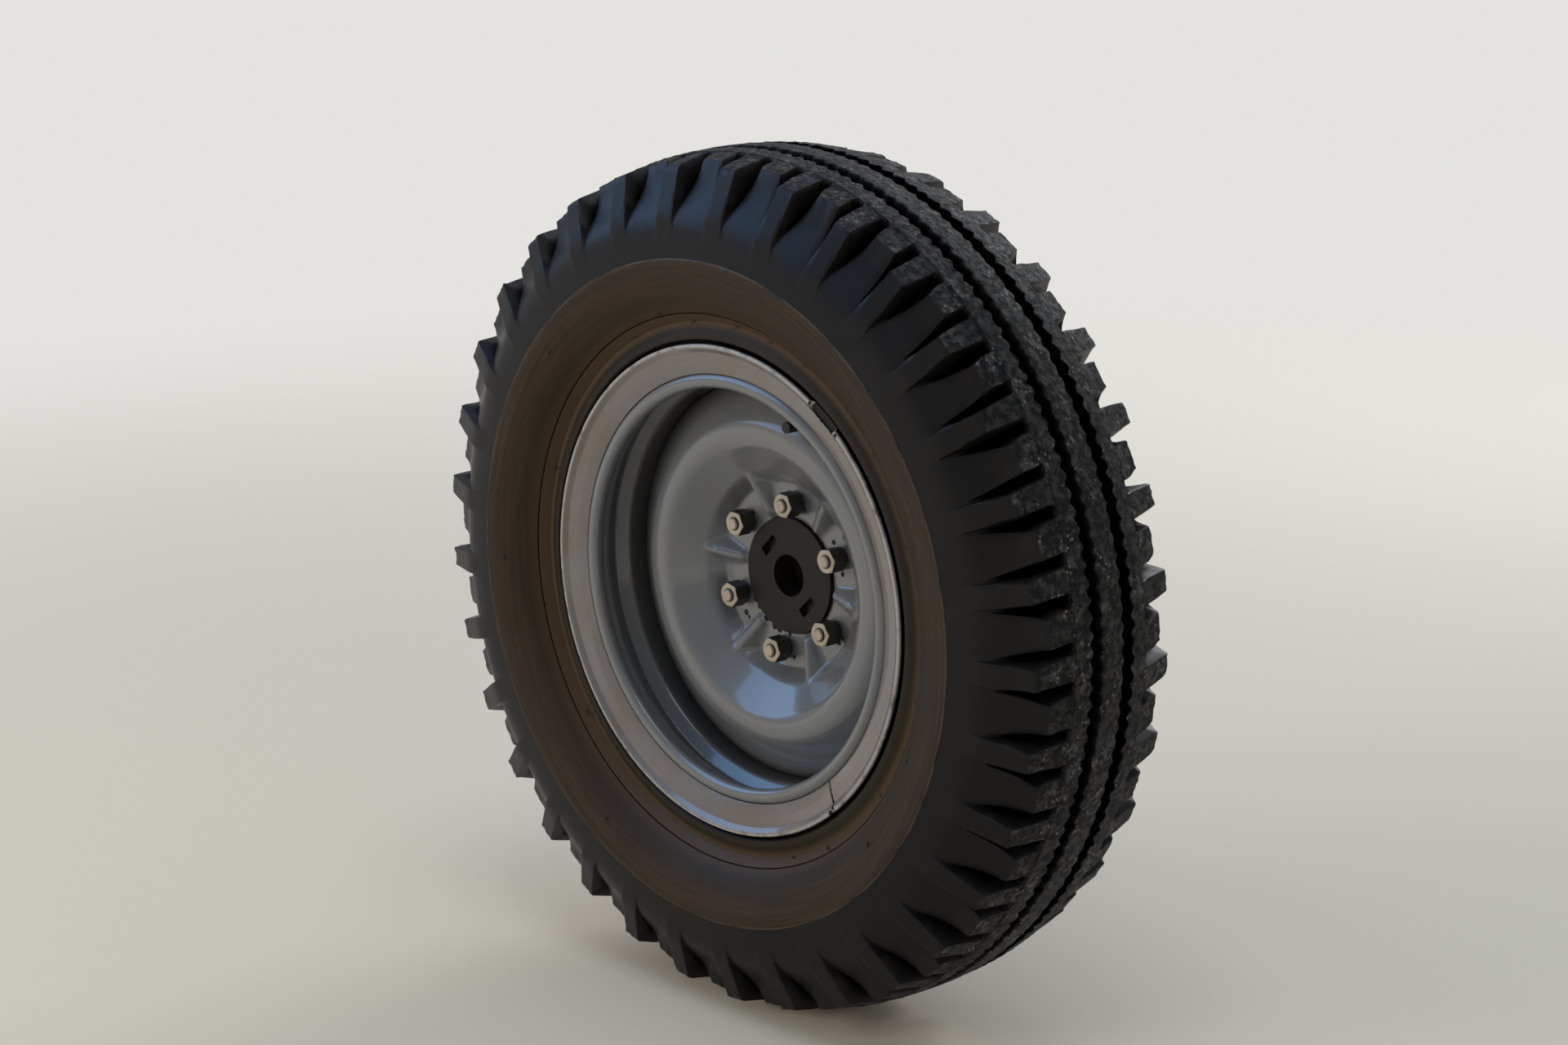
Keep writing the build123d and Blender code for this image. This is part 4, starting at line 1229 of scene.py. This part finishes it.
@dataclass
class Studio:
    """Floor, lamps and the camera at the photograph's viewing angle."""

    camera_place: tuple[float, float, float] = (2.0798, -1.9782, 0.7837)
    camera_aim: tuple[float, float, float] = (-0.7023, 0.6675, -0.2474)
    lens: float = 75.0
    sensor: float = 36.0
    floor_colour: Colour = swatch(240, 231, 214)
    floor_half: float = 40.0
    floor_gap: float = 0.0005
    backdrop_colour: Colour = swatch(228, 227, 223)
    # metres from the middle of the floor where it starts to glow and where it glows fully
    glow_band: Span = (1.0, 3.4)
    # name, place, size, power, colour, whether matt faces show its light, whether it is mirrored
    lamps: tuple = (
        ("window", (-2.0, -1.5, 1.9), 2.5, 52.0, (0.24, 0.52, 1.0), False, True),
        ("overhead", (0.8, -0.9, 3.2), 1.8, 20.0, (0.95, 0.97, 1.0), True, True),
        ("front", (-1.7, -3.3, 0.1), 2.0, 84.0, (1.0, 0.92, 0.83), True, False),
        ("back", (-1.0, 3.2, 1.8), 2.0, 55.0, (0.97, 0.98, 1.0), True, True),
    )
    low_light: Colour = (0.94, 0.84, 0.72, 1.0)
    high_light: Colour = (0.66, 0.81, 1.0, 1.0)
    room_strength: float = 0.42

    def build(self) -> None:
        """Builds the studio."""
        self.place_camera()
        self.lay_floor()
        self.hang_lamps()
        self.light_room()
        bpy.context.scene.view_settings.view_transform = "Standard"

    def place_camera(self) -> None:
        """Places the camera, given from the wheel's middle plane."""
        data = bpy.data.cameras.new("camera")
        data.lens = self.lens
        data.sensor_width = self.sensor
        camera = show("camera", data)
        place = Vector(self.camera_place) + Vector((0, WHEEL_PLANE, 0))
        aim(camera, place, Vector(self.camera_aim))
        bpy.context.scene.camera = camera

    def lay_floor(self) -> None:
        """Lays a plain pale floor under the tyre."""
        mesh = bmesh.new()
        bmesh.ops.create_grid(mesh, x_segments=1, y_segments=1, size=self.floor_half)
        down = (0, 0, CAD_BOX[0].z - self.floor_gap)
        bmesh.ops.translate(mesh, verts=mesh.verts[:], vec=down)
        data = settle(mesh, "floor")
        material = bpy.data.materials.new("pale_floor")
        material.use_nodes = True
        shader = material.node_tree.nodes["Principled BSDF"]
        bench = Bench(material.node_tree)
        values = {"Base Color": self.floor_colour, "Roughness": 0.9, "Specular IOR Level": 0.1}
        bench.fill(shader, values)
        self.brighten_far_floor(bench, shader)
        data.materials.append(material)
        floor = show("floor", data)

    def brighten_far_floor(self, bench: Bench, shader: Node) -> None:
        """Keeps the floor pale beyond the lamps' reach, for the eye and for reflections.

        Args:
            bench: The floor material's bench.
            shader: Its Principled BSDF.
        """
        place = bench.node("TexCoord").outputs["Object"]
        away = bench.node("VectorMath", {0: place}, operation="LENGTH").outputs["Value"]
        rays = bench.node("LightPath")
        seen = bench.most(rays.outputs["Is Camera Ray"], rays.outputs["Is Glossy Ray"])
        seen = bench.most(seen, rays.outputs["Is Transmission Ray"])
        share = bench.times(bench.ease(away, *self.glow_band), seen)
        glow = bench.node("Emission", {"Color": self.backdrop_colour, "Strength": 1.0})
        both = bench.node("MixShader", {0: share, 1: shader.outputs[0], 2: glow.outputs[0]})
        output = bench.tree.nodes["Material Output"]
        bench.feed(output.inputs["Surface"], both.outputs[0])

    def hang_lamps(self) -> None:
        """Hangs soft lamps that look at the wheel."""
        for name, place, size, power, colour, lights, mirrored in self.lamps:
            data = bpy.data.lights.new(name, "AREA")
            data.size, data.energy, data.color = size, power, colour
            lamp = show(name, data)
            aim(lamp, Vector(place), Vector((0, WHEEL_PLANE, 0)) - Vector(place))
            lamp.visible_diffuse, lamp.visible_glossy = lights, mirrored

    def light_room(self) -> None:
        """Sets the room's light: warmer from below and cooler from above."""
        world = bpy.data.worlds.new("room")
        world.use_nodes = True
        bench = Bench(world.node_tree)
        parts = bench.node("SeparateXYZ", {0: bench.node("TexCoord").outputs["Generated"]})
        up = bench.ease(parts.outputs[2], -0.05, 0.8)
        shade = world.node_tree.nodes["Background"]
        light = bench.blend(up, self.low_light, self.high_light)
        bench.fill(shade, {"Color": light, "Strength": self.room_strength})
        bpy.context.scene.world = world


@dataclass
class Finishes:
    """All materials of the model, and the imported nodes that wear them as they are."""

    effects: Effects

    def __post_init__(self) -> None:
        """Builds the materials."""
        finishes = {
            Slot.TYRE: TyreRubber("worn tyre rubber"),
            # painted shade with dirt deep in the barrel, and painted shade in the gaps at the
            # disc's edge
            Slot.WHEEL: Paint("wheel paint", shade_and_dirt=swatch(58, 55, 52), chip_places=self.hub_chips()),
            Slot.RING: Paint(
                "side ring paint", base=swatch(104, 99, 98), shade=swatch(89, 87, 91),
                stain=swatch(98, 83, 68), worn_radius=224.0, roughness=0.27,
                chip_spread=0.0, chip_cover=1.5, chip_places=self.ring_chips(),
            ),
            # painted reflection: the nuts' outboard faces are lighter than their sides
            Slot.NUT: Metal(
                "plated nut steel", base=swatch(60, 55, 50), brightened=swatch(182, 168, 148),
                tarnish=swatch(82, 71, 60), metallic=0.55, grime=0.35,
            ),
            Slot.DRUM: Metal(
                "rusty cast iron", base=swatch(70, 62, 56), tarnish=swatch(92, 62, 42),
                metallic=0.35, roughness=0.7, bump=0.5, grain_scale=260.0,
            ),
            Slot.BOSS: Paint(
                "dark boss paint", base=swatch(34, 28, 24), shade=swatch(25, 21, 19),
                dust=swatch(62, 53, 44), under=swatch(15, 14, 13),
                roughness=0.48, specular=0.22, coat=0.0, dust_amount=0.2,
            ),
            Slot.AXLE: Paint(
                "chassis black", base=swatch(40, 40, 41), shade=swatch(32, 32, 33),
                dust=swatch(112, 100, 84), under=swatch(86, 58, 40),
                roughness=0.55, coat=0.1, dust_amount=0.6, chip_spread=0.3,
            ),
            Slot.BEARING: Metal(
                "bearing steel", base=swatch(180, 182, 184), grime=0.25, roughness=0.3
            ),
            Slot.PIPE: Metal("pipe steel", base=swatch(120, 122, 120), grime=0.6),
            Slot.BRASS: Metal("brass", base=swatch(176, 142, 82), grime=0.5),
            Slot.VALVE: Paint(
                "valve rubber", base=swatch(26, 26, 27), shade=swatch(21, 21, 22),
                dust=swatch(66, 60, 52), roughness=0.6, coat=0.0,
            ),
        }
        self.by_slot = {slot: finish.build(self.effects) for slot, finish in finishes.items()}

    @staticmethod
    def ring_chips() -> Chips:
        """Chipped places on the side ring: in the pry notch and along the split."""
        # radius, degrees above the forward axis, distance outboard and reach
        places = (
            ((220.5, 58.0, 71.0, 9.0), (220.5, 56.6, 71.0, 10.0), (220.5, 54.8, 71.0, 10.0))
            + ((220.5, 53.0, 71.0, 10.0), (220.5, 51.6, 71.0, 9.0), (222.5, 50.4, 78.4, 2.6))
            + ((222.5, 59.6, 78.4, 2.4), (222.0, 49.1, 79.4, 2.8), (219.0, 49.2, 78.2, 2.2))
            + ((216.0, 49.4, 76.3, 1.7), (205.0, -48.8, 72.5, 2.4), (210.0, -48.9, 74.4, 2.2))
            + ((215.0, -49.0, 75.7, 2.6), (219.5, -49.3, 79.0, 3.0), (223.5, -50.4, 79.0, 4.6))
        )
        chips = []
        for radius, angle, outboard, reach in places:
            spot = on_wheel(radius, math.radians(angle), outboard) / MM
            chips.append((spot.x, spot.y, spot.z, reach))
        return tuple(chips)

    @staticmethod
    def hub_chips() -> Chips:
        """Chipped places on the disc: beside the nuts and round the lower edge of the boss."""
        # x, z and reach, in millimetres
        beside_nuts = (
            ((-60.5, -47.5, 4.6), (-56.5, -51.5, 3.4), (55.0, 41.0, 4.0), (66.5, 13.5, 3.6))
            + ((62.0, -51.0, 4.4), (67.0, -46.0, 3.6), (17.5, 65.0, 4.0), (-51.0, 50.0, 4.2))
            + ((4.0, -77.0, 3.4), (103.0, -160.0, 5.0))
        )
        # degrees above the forward axis and reach
        round_boss = ((203, 4), (214, 5), (222, 5), (236, 5), (247, 6), (254, 5), (268, 4))
        boss_radius = 57
        front = (WHEEL_PLANE / MM) + 8.0
        chips = [(x, front, z, reach) for x, z, reach in beside_nuts]
        for angle, reach in round_boss:
            turn = math.radians(angle)
            x, z = boss_radius * math.cos(turn), boss_radius * math.sin(turn)
            chips.append((x, front, z, float(reach)))
        return tuple(chips)

    def dress_nodes(self) -> None:
        """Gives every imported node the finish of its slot."""
        for name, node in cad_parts.items():
            for holder in node.material_slots:
                slot = Slot(holder.material.name.split(".")[0])
                holder.material = self.by_slot[slot]
            LOG.info("%s dressed", name)


def main() -> None:
    """Builds the looks."""
    logging.basicConfig(level=logging.INFO, format="%(name)s: %(message)s")
    finishes = Finishes(Effects())
    finishes.dress_nodes()
    Tyre().build(finishes.by_slot[Slot.TYRE])
    SpewPips().build(finishes.by_slot[Slot.VALVE])
    Disc().build(finishes.by_slot[Slot.WHEEL])
    SideRing().build(finishes.by_slot[Slot.RING])
    Nuts().build(finishes.by_slot[Slot.NUT])
    Studio().build()


if __name__ == "__main__":
    main()
